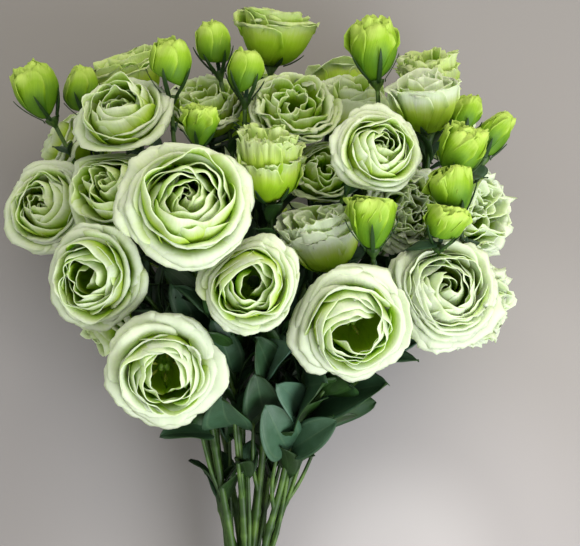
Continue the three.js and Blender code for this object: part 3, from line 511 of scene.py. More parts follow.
def plain_material(name, low, high, grain_mm, roughness):
    """A solid surface whose colour wanders between two shades, with a grain of a real size."""
    material, tree = new_material(name)
    where = add_node(tree, "TexCoord")
    grain = add_node(
        tree, "TexNoise",
        inputs={"Vector": where.outputs["Object"], "Scale": 1 / (grain_mm * MM), "Detail": 4},
    )
    shade = add_node(
        tree, "ValToRGB", stops=((0.3, low), (0.7, high)), inputs={"Fac": grain.outputs[0]}
    )
    bump = add_node(
        tree, "Bump", inputs={"Height": grain.outputs[0], "Strength": 0.3, "Distance": GRAIN_RELIEF}
    )
    skin = add_node(
        tree, "BsdfPrincipled",
        inputs={
            "Base Color": shade.outputs[0], "Normal": bump.outputs[0], "Roughness": roughness,
        },
    )
    add_node(tree, "OutputMaterial", inputs={"Surface": skin.outputs[0]})
    return material


petal_skin = petal_material("fresh_petal", PETAL_STOPS, 0.52)
bud_skin = petal_material("bud_petal", BUD_STOPS, 0.25)
leaf_skin = leaf_material("waxy_leaf", LEAF_STOPS, "#36502a")
leaf_underside = leaf_material("leaf_underside", UNDERSIDE_STOPS, "#587050")
stem_skin = stem_material()
pollen_skin = plain_material("anther", "#55620f", "#8c9126", 0.5, 0.7)
pistil_skin = plain_material("pistil", "#466914", "#7c9a35", 1.2, 0.5)
pith_skin = plain_material("cut_pith", "#9fb07a", "#d5dcb2", 0.8, 0.7)
twine_skin = plain_material("jute_twine", "#8d6c40", "#cdb489", 0.6, 0.95)


# ---------------------------------------------------------------- meshes
SAME_PLACE = 1e-4  # mm: points closer than this are one
ASIDE = Vector((0.6, 0, 0.8))  # a direction that no stem runs in


def new_mesh():
    """An empty mesh with the layers that the materials read."""
    bm = bmesh.new()
    bm.loops.layers.uv.new("blade")
    bm.verts.layers.float.new("pale")
    bm.verts.layers.float.new("wax")
    return bm


def paint(verts, material):
    """Gives the faces round some points one of a piece's materials."""
    for face in {face for v in verts for face in v.link_faces}:
        face.material_index = material


def add_sheet(bm, columns, rows, place, layer, material=0):
    """A grid laid out by place(across, along), across from -1 to 1 and along from 0 to 1. place
    gives a point of the layout and the value of the layer there."""
    values = bm.verts.layers.float[layer]
    verts = bmesh.ops.create_grid(
        bm, x_segments=columns, y_segments=rows, size=1, calc_uvs=True
    )["verts"]
    for v in verts:
        v.co, v[values] = place(v.co.x, (v.co.y + 1) / 2)
    if material:
        paint(verts, material)
    return verts


def add_tube(bm, centre, radius, sides, rings, material=0, cut=None):
    """A closed tube along centre(t), with radius(t), t from 0 to 1. Its start may be cut across,
    and then shows another material there."""
    line = [centre(i / rings) for i in range(rings + 1)]
    heading = (line[1] - line[0]).normalized()
    side = heading.cross(ASIDE).normalized()
    frames = []
    for i, middle in enumerate(line):
        following = (line[min(i + 1, rings)] - line[max(i - 1, 0)]).normalized()
        side = heading.rotation_difference(following) @ side
        heading = following
        frames.append((middle, side, heading.cross(side)))

    def place(across, along):
        middle, one, other = frames[round(along * rings)]
        angle = math.pi * across
        reach = radius(along)
        return middle + (one * math.cos(angle) + other * math.sin(angle)) * reach, 0.5

    verts = add_sheet(bm, sides, rings, place, "wax", material)
    bmesh.ops.remove_doubles(bm, verts=verts, dist=SAME_PLACE)
    verts = [v for v in verts if v.is_valid]
    open_edges = dict.fromkeys(e for v in verts for e in v.link_edges if e.is_boundary)
    caps = bmesh.ops.holes_fill(bm, edges=list(open_edges), sides=sides)["faces"]
    for cap in caps:
        middle = cap.calc_center_median()
        at_start = (middle - line[0]).length < (middle - line[-1]).length
        cap.material_index = cut if cut is not None and at_start else material
        cap.smooth = False


def add_ball(bm, place, sides, material):
    """A ball, stretched and set in its place by a matrix."""
    ball = bmesh.ops.create_uvsphere(bm, u_segments=sides, v_segments=8, radius=1, matrix=place)
    paint(ball["verts"], material)


def finish_piece(bm, name, skins, replaced=(), thickness=0):
    """Lays a mesh down into the frame as a piece of the bunch."""
    bm.transform(laid_down)
    mesh = bpy.data.meshes.new(name)
    bm.to_mesh(mesh)
    bm.free()
    for skin in skins:
        mesh.materials.append(skin)
    mesh.shade_smooth()
    piece = bpy.data.objects.new(name, mesh)
    bpy.context.scene.collection.objects.link(piece)
    if thickness:
        wall = piece.modifiers.new("thickness", "SOLIDIFY")
        wall.thickness = thickness * MM
        wall.offset = 0
        wall.material_offset = len(skins) - 1
    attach(piece, "root")
    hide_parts(*replaced)
    return piece


# ---------------------------------------------------------------- flowers in their places
BUD_REACH = 0.46  # of its length: how far a bud reaches from its middle
HEART_OFFSET = 0.06  # of its radius: how far a bloom's heart may stand off its axis
BUD_SEEDS, STEM_SEEDS, HEART_SEEDS = 100, 200, 300  # where each kind's random numbers start

NEIGHBOURLY = 1.25  # flowers further apart than this times their reach don't meet
OVERLAP = 0.55  # how far the plane between two flowers leans, as a slope
TOWARDS_VIEWER = Vector((0, 0, 0.01))  # the outward side of two that look apart
PRESS_DEPTH = 7  # how far in from a neighbour a pressed flower starts to give way
PRESS_SHARE = 0.25  # and at most this share of its reach
SURFACE_GAP = 0.5  # between the surface and the petals that lie on it
FLATTENED = 1.6  # how much of the flowers underneath is flat on the surface

# The surface below, as such a plane: its normal, its offset and the depth of the press.
SURFACE = (
    Vector((0, -math.sin(LAID_BACK), -math.cos(LAID_BACK))),
    HEAD_HEIGHT - SURFACE_GAP,
    2 * FLATTENED,
)


class Flower:
    """A bloom or a bud in its place: its base, its middle and how far it reaches."""

    def __init__(self, row, name, seed):
        self.row, self.name, self.seed = row, name, seed
        self.face = Vector(row.face).normalized()
        self.is_bud = isinstance(row, Bud)
        if self.is_bud:
            self.middle = pictured(row.x, row.y, row.depth)
            self.base = self.middle - self.face * (row.length / 2)
            self.reach = row.length * BUD_REACH
        else:
            self.form = FORMS[row.form]
            self.height = row.radius * self.form.height
            rim_height = petal_section(self, 1, 1)[3].y
            self.base = pictured(row.x, row.y, row.depth) - self.face * rim_height
            self.middle = self.base + self.face * (self.height / 2)
            self.reach = max(row.radius, self.height / 2)
        loose = random.Random(HEART_SEEDS + seed)
        offset = Vector((loose.uniform(-1, 1), loose.uniform(-1, 1), 0))
        self.aside = offset * HEART_OFFSET * row.radius
        turn = Vector((0, 0, 1)).rotation_difference(self.face)
        self.stand = Matrix.Translation(self.base) @ turn.to_matrix().to_4x4()


def planes_between(flower):
    """Flowers give way where they meet, each to its own side of a plane between them. The plane
    leans, so that the flower that stands further out lies over the edge of the other."""
    planes = []
    for other in flowers:
        between = other.middle - flower.middle
        distance = between.length
        if other is flower or distance > NEIGHBOURLY * (flower.reach + other.reach):
            continue
        share = (distance**2 + flower.reach**2 - other.reach**2) / (2 * distance)
        meeting = flower.middle + between * (share / distance)
        outward = (flower.face + other.face + TOWARDS_VIEWER).normalized()
        lean = math.copysign(OVERLAP, between.dot(outward)) * outward
        normal = (between.normalized() + lean).normalized()
        offset = normal.dot(meeting) - CLEARANCE / 2
        planes.append((normal, offset, min(PRESS_DEPTH, PRESS_SHARE * flower.reach)))
    return planes


def press(bm, planes):
    """Moves each point back from the planes. Points keep their order, so nothing folds over."""
    for v in bm.verts:
        for normal, offset, depth in planes:
            beyond = normal.dot(v.co) - offset + depth
            if beyond > 0:
                v.co += normal * (depth * (1 - math.exp(-beyond / depth)) - beyond)


def ripple(waves, phases, across, along=0):
    """The sum of waves that run across a petal. Each has a height, a rate across the petal, the
    number of the random phase that it starts from, and a rate along the petal."""
    total = 0
    for height, rate, phase, drift in waves:
        total += height * math.sin(rate * across + phases[phase] + drift * along)
    return total


# ---------------------------------------------------------------- blooms
FINE_GRID = (26, 16)  # faces across and along a petal of a bloom near the viewer
PLAIN_GRID = (16, 11)
NEAR = 30  # mm in front of the axis, past which a bloom counts as near the viewer
PETAL_THICKNESS = 0.32

# A petal's long section. Rings run from 0, the heart, to 1, the outermost petals.
LAYING_RINGS = (0.42, 0.9)  # between these, petals go over from standing up to lying open
WRAPPING_RINGS = (0.34, 0.64)  # between these, they stop leaning in over the heart
FOOT_RADIUS, FOOT_SPREAD = 0.1, 0.04  # of the bloom's radius, at the heart and how much more outside
HEART_RIM = 0.02  # radius of the innermost rim, as a share of the bloom's
RING_SPREAD = 1.05  # a power: above 1 it draws the middle rings in
SHUT_RIM = 0.14  # how much narrower the rim of a closed cup is
HEART_TOP = 0.86  # height of the innermost rim, times the bloom's own
TOP_RISE, TOP_FALL, OPEN_FALL = 0.3, 0.25, 0.5  # how the rims rise and fall again outwards
STANDING_BELLY, LYING_BELLY, SHUT_BELLY = 1.12, 0.5, 0.12  # width low down, times the rim's
STANDING_SHOULDER, LYING_SHOULDER, SHUT_SHOULDER = 1.08, 0.64, 0.1  # and higher up
BELLY_SWELLING = 0.04  # of the bloom's radius
BELLY_HEIGHT = 0.1  # of the bloom's height
STANDING_RISE, LYING_RISE = 0.8, 1.3  # height of the shoulder, times the height of the rim

# How petals stand round a bloom.
FIRST_PETAL = 0.43  # of its share of the turn
PETAL_OVERLAP = 1.45  # how much wider a petal is than its share of the ring
WIDEST_PETAL = math.radians(95)  # to each side of its middle
RING_TURN = 0.5  # how far each ring is turned from the one outside it, in petals
WHORL_TURN = 0.35  # and in radians
TURN_SPREAD = (-0.12, 0.12)
INSET = 0.08  # how far further in the last petal of a ring stands than its first
PINWHEEL = 0.11  # how far a petal's trailing edge stands out, as a share of the radius

# How petals differ from each other: the least and the most of each.
REACH_SPREAD = (0.92, 1.05)
LIFT_SPREAD = (-0.06, 0.05)  # of the bloom's height
RUFFLE_SPREAD = (0.7, 1.3)
CURL_SPREAD = (0.03, 0.1)  # of the bloom's radius
INNER_CORNER_SPREAD = (0.1, 0.28)  # how far a petal's corners are rounded off
OUTER_CORNER_SPREAD = (0.03, 0.12)
LAP_SPREAD = (0.5, 0.9)

# How its rim runs. The waves are rows for ripple, and draw on six random phases.
PHASES = 6
OUTER_RINGS = (0.5, 0.8)  # between these, petals take on the look of outer ones
HEART_RINGS = (0.08, 0.25)  # between these, they lose that of the heart
RUFFLED_RINGS = (0.05, 0.35)
FRILLED_RINGS = (0.2, 0.8)
RUFFLE_HEIGHT = 0.05  # of the bloom's radius
HEART_RUFFLE, MIDDLE_RUFFLE, OUTER_CALM = 0.4, 1.4, 0.6  # times that
RUFFLE_RISE = 2.5  # a power: how late ruffles set in on the way up a petal
FRILL_HEIGHT = 0.018
FRILL_RISE = (6, 3)  # of an open and of a shut flower
RUFFLES = ((1, 2.6, 2, 0), (0.7, 6, 3, 2), (0.3, 12, 1, 1))
CRIMPS = ((1, 15, 4, 3), (0.5, 27, 5, 0))
NOTCHES = ((1, 19, 1, 0), (1, 31, 5, 0))
NOTCH_DEPTH = 0.011
OUTLINE = ((1, 4.5, 0, 0),)
OUTLINE_DEPTH = (0.025, 0.05)  # of an open and of a shut flower's petals
ROUNDED_EDGE = 0.3
ROLL_START = 0.72  # how far up a petal its rim starts to roll outwards
NARROW_FOOT = 0.62  # of a petal's full width
FULL_WIDTH_AT = 0.6  # how far up a petal it has its full width

# Where its colour turns from the green foot to the pale rim, in the heart and outside.
GREEN_UP_TO = (0.5, 0.24)
PALE_FROM = (1, 0.92)
HEART_SHADE = 0.9

# The heart of an open bloom, in mm: a flask-shaped ovary under its style, and the stamens.
HEART_HEIGHT = 0.38  # of the bloom's height
OVARY_RADIUS = 3.4
STYLE_RADIUS = 1.1
STIGMA_LOBE = (1.5, 2.4, 1)
THREAD_RADIUS = 0.4
THREAD_FOOT, THREAD_KNEE = 3, 5  # how far from the axis a stamen starts and bends
THREAD_TIP_SPREAD, THREAD_TOP_SPREAD = (4.5, 7), (0.8, 1)  # in mm, and of the heart's height
STAMEN_TURN_SPREAD = (-0.3, 0.3)
ANTHER = (1.1, 0.9, 3)
ANTHER_LEAN_SPREAD = (0.3, 1.2)
POLLEN, GREEN_HEART = 1, 2  # places in the heart's list of materials


def petal_section(flower, ring, tall):
    """A petal's long section as a Bezier curve: distance from the axis, height above the base."""
    radius, height, openness = flower.row.radius, flower.height, flower.form.openness
    laid = openness * smooth(ring, *LAYING_RINGS)
    closed = 1 - openness
    wrap = flower.form.wrap * radius * (1 - smooth(ring, *WRAPPING_RINGS))
    rim = radius * mix(HEART_RIM, 1, ring**RING_SPREAD) * (1 - SHUT_RIM * closed)
    fall = TOP_FALL + OPEN_FALL * openness
    top = tall * height * (HEART_TOP + TOP_RISE * ring - fall * ring * ring)
    belly = rim * mix(STANDING_BELLY + SHUT_BELLY * closed, LYING_BELLY, laid)
    belly += radius * BELLY_SWELLING + wrap
    shoulder = rim * mix(STANDING_SHOULDER + SHUT_SHOULDER * closed, LYING_SHOULDER, laid) + wrap
    return [
        Vector((radius * (FOOT_RADIUS + FOOT_SPREAD * ring), 0)),
        Vector((belly, height * BELLY_HEIGHT)),
        Vector((shoulder, top * mix(STANDING_RISE, LYING_RISE, laid))),
        Vector((rim, top)),
    ]


def add_petal(bm, flower, ring, tall, angle, half_width, grid, rng):
    """One petal: its long section, swept to both sides, with its rim cut, waved and rolled."""
    form, radius = flower.form, flower.row.radius
    section = petal_section(flower, ring, tall)
    phases = [rng.uniform(0, math.tau) for _ in range(PHASES)]
    reach = rng.uniform(*REACH_SPREAD)
    standing = 1 - form.openness
    lift = rng.uniform(*LIFT_SPREAD) * flower.height * mix(1, 2, standing)
    outer = smooth(ring, *OUTER_RINGS)
    ruffle = form.ruffle * RUFFLE_HEIGHT * radius * rng.uniform(*RUFFLE_SPREAD)
    ruffle *= mix(HEART_RUFFLE, MIDDLE_RUFFLE, smooth(ring, *RUFFLED_RINGS)) - OUTER_CALM * outer
    frill = form.frill * FRILL_HEIGHT * radius * smooth(ring, *FRILLED_RINGS)
    curl = radius * rng.uniform(*CURL_SPREAD) * (1 + standing)
    inner_corner = rng.uniform(*INNER_CORNER_SPREAD)
    outer_corner = rng.uniform(*OUTER_CORNER_SPREAD) * (1 + standing)
    corner = mix(inner_corner, outer_corner, outer)
    lap = PINWHEEL * radius * rng.uniform(*LAP_SPREAD)
    heart = 1 - smooth(ring, *HEART_RINGS)
    aside = flower.aside * (1 - ring) ** 2
    frill_rise = mix(*FRILL_RISE, standing)

    def place(across, along):
        edge = 1 + mix(*OUTLINE_DEPTH, standing) * ripple(OUTLINE, phases, across)
        edge += NOTCH_DEPTH * form.frill * outer * ripple(NOTCHES, phases, across)
        t = along * (1 - corner * across**2 - ROUNDED_EDGE * across**8) * edge
        point = bezier(section, t)
        heading = bezier_heading(section, t)
        outward = Vector((heading.y, -heading.x))
        waved = ruffle * t**RUFFLE_RISE * ripple(RUFFLES, phases, across, along)
        crimped = frill * t**frill_rise * ripple(CRIMPS, phases, across, along)
        rolled = max(0, (along - ROLL_START) / (1 - ROLL_START)) ** 2
        point += outward * (waved + crimped + curl * mix(0.3, 1, outer) * rolled)
        out = point.x * mix(1, reach, t) + lap * across * t
        up = point.y + lift * t
        theta = angle + half_width * across * mix(NARROW_FOOT, 1, smooth(t, 0, FULL_WIDTH_AT))
        green_up_to, pale_from = mix(*GREEN_UP_TO, outer), mix(*PALE_FROM, outer)
        pale = form.pale * smooth(t, green_up_to, pale_from) * mix(1, HEART_SHADE, heart)
        pale += max(0, form.pale - 1)
        swept = Vector((out * math.cos(theta), out * math.sin(theta), up)) + aside * t
        return flower.stand @ swept, pale

    add_sheet(bm, *grid, place, "pale")


def add_heart(bm, flower, rng):
    """The pistil and the stamens that an open flower shows: a green flask with a two-lobed top,
    and five anthers on threads."""
    height = flower.height * HEART_HEIGHT

    def flask(along):
        belly = math.sin(math.pi * min(1, 0.25 + along * 1.1)) * (1 - smooth(along, 0.35, 0.6))
        return OVARY_RADIUS * belly + STYLE_RADIUS

    add_tube(bm, lambda t: flower.stand @ Vector((0, 0, height * t)), flask, 12, 16, GREEN_HEART)
    for side in (-1, 1):
        top = Matrix.Translation((1.5 * side, 0, height + 0.6))
        add_ball(bm, flower.stand @ top @ Matrix.Diagonal((*STIGMA_LOBE, 1)), 12, GREEN_HEART)
    for k in range(PETALS_IN_RING):
        angle = k * math.tau / PETALS_IN_RING + rng.uniform(*STAMEN_TURN_SPREAD)
        turn = Matrix.Rotation(angle, 4, "Z")
        foot, knee = Vector((THREAD_FOOT, 0, 0)), Vector((THREAD_KNEE, 0, height / 2))
        tip = Vector((rng.uniform(*THREAD_TIP_SPREAD), 0, height * rng.uniform(*THREAD_TOP_SPREAD)))
        thread = [flower.stand @ turn @ p for p in (foot, knee, tip)]
        add_tube(bm, lambda t: through(thread, t), lambda t: THREAD_RADIUS, 6, 8, GREEN_HEART)
        lean = Matrix.Rotation(rng.uniform(*ANTHER_LEAN_SPREAD), 4, "Y")
        lying = lean @ Matrix.Diagonal((*ANTHER, 1))
        add_ball(bm, flower.stand @ turn @ Matrix.Translation(tip) @ lying, 10, POLLEN)


def make_bloom(flower):
    """All the petals of a bloom, pressed back from its neighbours, and its heart if it shows."""
    rng = random.Random(flower.seed)
    grid = FINE_GRID if flower.row.depth > NEAR else PLAIN_GRID
    bm = new_mesh()
    for index, (ring, count, tall) in enumerate(flower.form.whorls):
        half_width = min(PETAL_OVERLAP * math.pi / count, WIDEST_PETAL)
        for k in range(count):
            inset = INSET * ring * k / count
            turn = (k + FIRST_PETAL + index * RING_TURN) * math.tau / count
            turn += flower.seed + WHORL_TURN * index
            turn += rng.uniform(*TURN_SPREAD)
            add_petal(bm, flower, ring - inset, tall, turn, half_width, grid, rng)
    planes = [*planes_between(flower), SURFACE]
    press(bm, [*planes, *planes])
    name = flower.name
    finish_piece(bm, f"{name}_petals", [petal_skin], (name,), PETAL_THICKNESS)
    if flower.row.form == "hollow":
        heart = new_mesh()
        add_heart(heart, flower, rng)
        finish_piece(heart, f"{name}_heart", [petal_skin, pollen_skin, pistil_skin])


# ---------------------------------------------------------------- buds
# From the inside out: how many petals, how wide they stand and how tall next to the bud itself,
# and how far each goes round to both sides of its middle, in radians.
BudWhorl = namedtuple("BudWhorl", "count girth tall half_width")
BUD_WHORLS = (
    BudWhorl(2, 0.28, 1.02, 1.7),
    BudWhorl(3, 0.56, 1.04, 1.5),
    BudWhorl(4, 0.8, 1.02, 1.2),
    BudWhorl(5, 1, 0.97, 1.05),
)
BUD_GRID = (16, 14)
BUD_FIRST_PETAL = 0.4
BUD_WINDING = 1.1  # radians that a petal turns from its foot to its tip
BUD_CURL_SPREAD = (-0.1, 0.26)  # of its radius, when it is open
BUD_NOTCHES = ((0.03, 13, 0, 0),)
BUD_RUFFLES = ((0.2, 6, 0, 0), (0.07, 15, 1, 0))
TIP_START = 0.68  # how far up a bud its petals start to leave each other
TIP_FLARE = 0.04  # of its radius, also when it is shut
BUD_LAP = 0.08
BUD_GREEN = 0.2  # the least of the pale shade, at its foot and at its petals' edges
BUD_PALE_START = 0.35


def bud_girth(flower, level):
    """A bud's radius at a level: it swells from its foot and draws in to its tip."""
    closing = 0.07 + (0.8 - 0.12 * flower.row.open) * level
    return flower.row.radius * math.sin(math.pi * closing) ** 0.85


def add_bud_petal(bm, flower, whorl, angle, rng):
    """One petal of a bud, wound round the bud's axis."""
    radius, length, spread = flower.row.radius, flower.row.length, flower.row.open
    phases = (rng.uniform(0, math.tau), 0)
    reach = rng.uniform(*REACH_SPREAD) * whorl.tall
    curl = spread * rng.uniform(*BUD_CURL_SPREAD)

    def place(across, along):
        notch = spread * ripple(BUD_NOTCHES, phases, across)
        t = along * reach * (1 - 0.12 * across**2 - 0.25 * across**6 + notch)
        tip = smooth(along, TIP_START, 1) ** 2
        flare = tip * (TIP_FLARE + curl + spread * ripple(BUD_RUFFLES, phases, across))
        girth = bud_girth(flower, min(t, 1))
        out = girth * (whorl.girth + BUD_LAP * across * t) + radius * flare
        theta = angle + whorl.half_width * across + BUD_WINDING * t
        pale = mix(BUD_GREEN, 1, smooth(along, BUD_PALE_START, 1)) - BUD_GREEN * abs(across)
        point = Vector((out * math.cos(theta), out * math.sin(theta), length * t))
        return flower.stand @ point, pale

    add_sheet(bm, *BUD_GRID, place, "pale")


def make_bud(flower):
    """Four whorls of petals wound round each other, which a ripe bud spreads at its tip."""
    rng = random.Random(BUD_SEEDS + flower.seed)
    bm = new_mesh()
    for whorl in BUD_WHORLS:
        for k in range(whorl.count):
            angle = (k + BUD_FIRST_PETAL) * math.tau / whorl.count + flower.seed
            add_bud_petal(bm, flower, whorl, angle, rng)
    planes = planes_between(flower)
    press(bm, [*planes, *planes])
    name = flower.name
    finish_piece(bm, f"{name}_petals", [bud_skin], (name,), PETAL_THICKNESS)


# ---------------------------------------------------------------- stems and leaves
STEM_RADIUS = 2.45  # at the cut end
STEM_TAPER = 0.6  # how much thinner a stem is at its fork
JOINT_SPANS = ((0.08, 0.2), (0.3, 0.45), (0.6, 0.68))  # where on a stem its lower joints may be
HIGH_JOINTS = (0.82, 0.9)
JOINT_SWELLING = 0.7  # how far a joint of the stem stands out
JOINT_LENGTH = 0.008  # of the stem
PEDICEL_RADIUS = 1.25  # of the branches that carry the flowers
AXIL_SWELLING = 0.8  # how much thicker a branch is where it leaves its stem
TOP_BRANCH = 0.985  # where on its stem the highest branch starts, 1 is the fork
BRANCH_STEP = 0.05  # and how much lower down the others start
BRANCH_LEAN = 0.55  # how far a branch starts out along its stem
BRANCH_BEND = 0.35  # how soon it turns to its flower, as a share of its length
CALYX_DEPTH = 6
CALYX_WIDTH = 0.17  # radius of its mouth, as a share of the bloom's
BUD_CALYX_WIDTH = 0.34
SHOOT_RADIUS = 1.35
SHOOT_TAPER = 0.4
SHOOT_SPANS = ((0.5, 0.58), (0.6, 0.7))  # where on a stem its two side shoots may start
SHOOT_LEAN = 0.35
SHOOT_REACH = (38, 62)  # mm
SHOOT_LEAF = (18, 28)

LEAF_THICKNESS = 0.5
LEAF_FOLD = 0.3  # slope of a leaf's halves up from its rib
LEAF_WAVE = 0.035  # height of its edge's waves, as a share of its length
LEAF_RIB = 0.06  # how wide the bend along its rib is, as a share of its length
LEAF_GRID = (12, 18)  # faces across and along a leaf
BRACT_GRID = (4, 7)
SEPAL_GRID = (4, 10)
SEPAL_WAX = 0.25
BUD_SEPAL_WIDTH, BLOOM_SEPAL_WIDTH = 2, 2.6  # mm, half of it
BUD_SEPAL_SPREAD = (0.4, 0.62)  # length, as a share of the bud's
BLOOM_SEPAL_START, BLOOM_SEPAL_LENGTH = 0.06, 0.26  # along the section of an outer petal
KEEP_OFF = 0.85  # of a flower's reach: no small leaf comes closer to its middle
STEM_PAIRS = (0.87, 0.92, 0.98)  # where on a stem its small leaves stand
STEM_PAIR_LENGTH = 30
PAIR_REACH, PAIR_LEAN = (0.75, 1.25), (0.55, 1.1)
BRACT_WIDTH, BRACT_BOW, BRACT_WAX = (0.4, 0.55), (0.05, 0.15), (0, 0.45)
BRANCH_PAIRS = ((0.2, 30), (0.4, 32), (0.6, 28), (0.78, 24), (0.9, 18))  # where, length in mm


def waist_point(stem, y):
    """Where a stem passes a given height of the layout, at the tie and below it."""
    below = (TIE_Y - y) / (TIE_Y - CUT_Y)
    ring = stem.ring * (1 + below * (SPLAY - 1))
    angle = math.radians(stem.angle) - below * WAIST_TWIST
    return Vector((AXIS_X + ring * math.cos(angle), y, ring * math.sin(angle)))


def main_route(stem):
    """Points along a main stem, from its cut end through the tie to its fork."""
    cut, half_way, tied = [waist_point(stem, y) for y in (CUT_Y, (TIE_Y + CUT_Y) / 2, TIE_Y)]
    fork = pictured(*stem.fork)
    return [cut, half_way, tied, (tied + fork) / 2, fork]


def branch_routes(stem):
    """Each flower that a stem carries, with the Bezier curve of its branch."""
    main = main_route(stem)
    carried = [flowers[n - 1] for n in stem.blooms]
    carried += [flowers[len(BLOOMS) + n - 1] for n in stem.buds]
    for index, flower in enumerate(carried):
        up = TOP_BRANCH - BRANCH_STEP * ((index * 2) % len(carried))
        start = through(main, up)
        below = CALYX_DEPTH - 1 if flower.is_bud else CLEARANCE
        end = flower.base - flower.face * below
        bend = BRANCH_BEND * (end - start).length
        leaving = heading_through(main, up) * BRANCH_LEAN + (end - start).normalized()
        yield flower, [start, start + leaving.normalized() * bend, end - flower.face * bend, end]


def add_blade(bm, base, tip, face, width, bow, wax, rng, grid):
    """A leaf: a pointed oval with a clasping foot, folded along its rib, bowed and a little wavy."""
    along_leaf = tip - base
    length = along_leaf.length
    along_leaf.normalize()
    across_leaf = face.cross(along_leaf).normalized()
    upper = along_leaf.cross(across_leaf)
    phase, side_bend = rng.uniform(0, math.tau), rng.uniform(-0.06, 0.06)

    def place(across, along):
        ripening = min(1, max(0, 0.015 + 0.985 * along)) ** 0.88
        out = across * 0.5 * math.sin(math.pi * ripening) ** 0.6 * length * width
        wavy = LEAF_WAVE * length * across * across * math.sin(7 * along + phase + 1.5 * across)
        rib = LEAF_RIB * length
        fold = LEAF_FOLD * (math.hypot(out, rib) - rib)
        rise = 4 * bow * length * along * (1 - along) + fold + wavy
        shift = side_bend * length * math.sin(math.pi * along)
        return base + along_leaf * (length * along) + across_leaf * (out + shift) + upper * rise, wax

    add_sheet(bm, *grid, place, "wax")


def add_pair(bm, base, heading, length, rng):
    """Two small leaves that face each other across a joint of the stem."""
    turn = rng.uniform(0, math.pi)
    side = heading.orthogonal().normalized()
    side.rotate(Matrix.Rotation(turn, 3, heading))
    for way in (-1, 1):
        reach = length * rng.uniform(*PAIR_REACH)
        lean = rng.uniform(*PAIR_LEAN)
        tip = base + (heading + side * way * lean).normalized() * reach
        width, bow, wax = [rng.uniform(*span) for span in (BRACT_WIDTH, BRACT_BOW, BRACT_WAX)]
        add_blade(bm, base, tip, heading, width, bow, wax, rng, BRACT_GRID)


def add_sepal(bm, flower, angle, rng):
    """A green spike: close up against a bud, or along the underside of a bloom."""
    lean, wide = rng.uniform(0, 1), rng.uniform(0.9, 1.15)
    sideways = Vector((-math.sin(angle), math.cos(angle), 0))

    def on_bud(along):
        up = flower.row.length * mix(*BUD_SEPAL_SPREAD, lean) * along - 1
        girth = bud_girth(flower, min(1, max(0, up / flower.row.length)))
        standing_off = 0.7 + (0.6 + 1.8 * lean) * along**2
        return max(flower.row.radius * 0.32, girth) + standing_off, up

    def on_bloom(along):
        section = petal_section(flower, 1, 1)
        t = BLOOM_SEPAL_START + BLOOM_SEPAL_LENGTH * along * mix(0.85, 1.15, lean)
        point, heading = bezier(section, t), bezier_heading(section, t)
        return point + Vector((heading.y, -heading.x)) * (0.8 + 1.2 * lean * along**2)

    rise, width = (on_bud, BUD_SEPAL_WIDTH) if flower.is_bud else (on_bloom, BLOOM_SEPAL_WIDTH)

    def place(across, along):
        out, up = rise(along)
        half = width * wide * (1.2 * math.sqrt(along + 0.15) * (1 - along) ** 0.8)
        point = Vector((out * math.cos(angle), out * math.sin(angle), up))
        return flower.stand @ (point + sideways * across * half), SEPAL_WAX

    add_sheet(bm, *SEPAL_GRID, place, "wax")


def keep_off_flowers(bm):
    """Pushes points out of the flowers that they would stand in."""
    for v in bm.verts:
        for flower in flowers:
            away = v.co - flower.middle
            nearest = flower.reach * KEEP_OFF
            if away.length < nearest:
                v.co = flower.middle + away.normalized() * nearest


def add_branch(bm, flower, route):
    """A flower's own stalk, which widens into the calyx under it."""
    mouth = PEDICEL_RADIUS if flower.is_bud else flower.row.radius * CALYX_WIDTH
    foot = 1 - CALYX_DEPTH / (route[3] - route[0]).length

    def widening(t):
        joint = AXIL_SWELLING * math.exp(-((t / 0.03) ** 2))
        return mix(PEDICEL_RADIUS + joint, mouth, smooth(t, foot, 1))

    add_tube(bm, lambda t: bezier(route, t), widening, 10, 40)
    if flower.is_bud:
        cup = [flower.stand @ Vector((0, 0, h)) for h in (-CALYX_DEPTH, -CALYX_DEPTH / 2, 0.5)]
        wide = flower.row.radius * BUD_CALYX_WIDTH
        add_tube(
            bm, lambda t: through(cup, t), lambda t: mix(PEDICEL_RADIUS, wide, smooth(t, 0, 0.9)), 12, 8
        )


def add_shoot(bm, main, up, rng):
    """A thin side shoot. Gives the place and the heading of its tip."""
    start = through(main, up)
    heading = heading_through(main, up)
    lean = Vector((rng.uniform(-SHOOT_LEAN, SHOOT_LEAN), 0, rng.uniform(0, SHOOT_LEAN)))
    reach = rng.uniform(*SHOOT_REACH)
    middle = start + (heading + lean) * reach * 0.4
    tip = start + (heading + lean * 0.6) * reach
    bend = [start, middle, tip]
    add_tube(bm, lambda t: through(bend, t), lambda t: SHOOT_RADIUS - SHOOT_TAPER * t, 8, 24)
    return tip, (tip - middle).normalized()


def make_stalks(name, main, branches, rng):
    """The green wood of a stem: the stem itself, its branches and two side shoots."""
    joints = [*(rng.uniform(*span) for span in JOINT_SPANS), *HIGH_JOINTS]

    def girth(t):
        swelling = sum(math.exp(-(((t - joint) / JOINT_LENGTH) ** 2)) for joint in joints)
        return STEM_RADIUS - STEM_TAPER * t + JOINT_SWELLING * swelling

    bm = new_mesh()
    add_tube(bm, lambda t: through(main, t), girth, 14, 150, cut=1)
    for flower, route in branches:
        add_branch(bm, flower, route)
    starts = [rng.uniform(*span) for span in SHOOT_SPANS]
    shoots = [add_shoot(bm, main, up, rng) for up in starts]
    finish_piece(bm, f"{name}_stalks", [stem_skin, pith_skin], (name,))
    return shoots


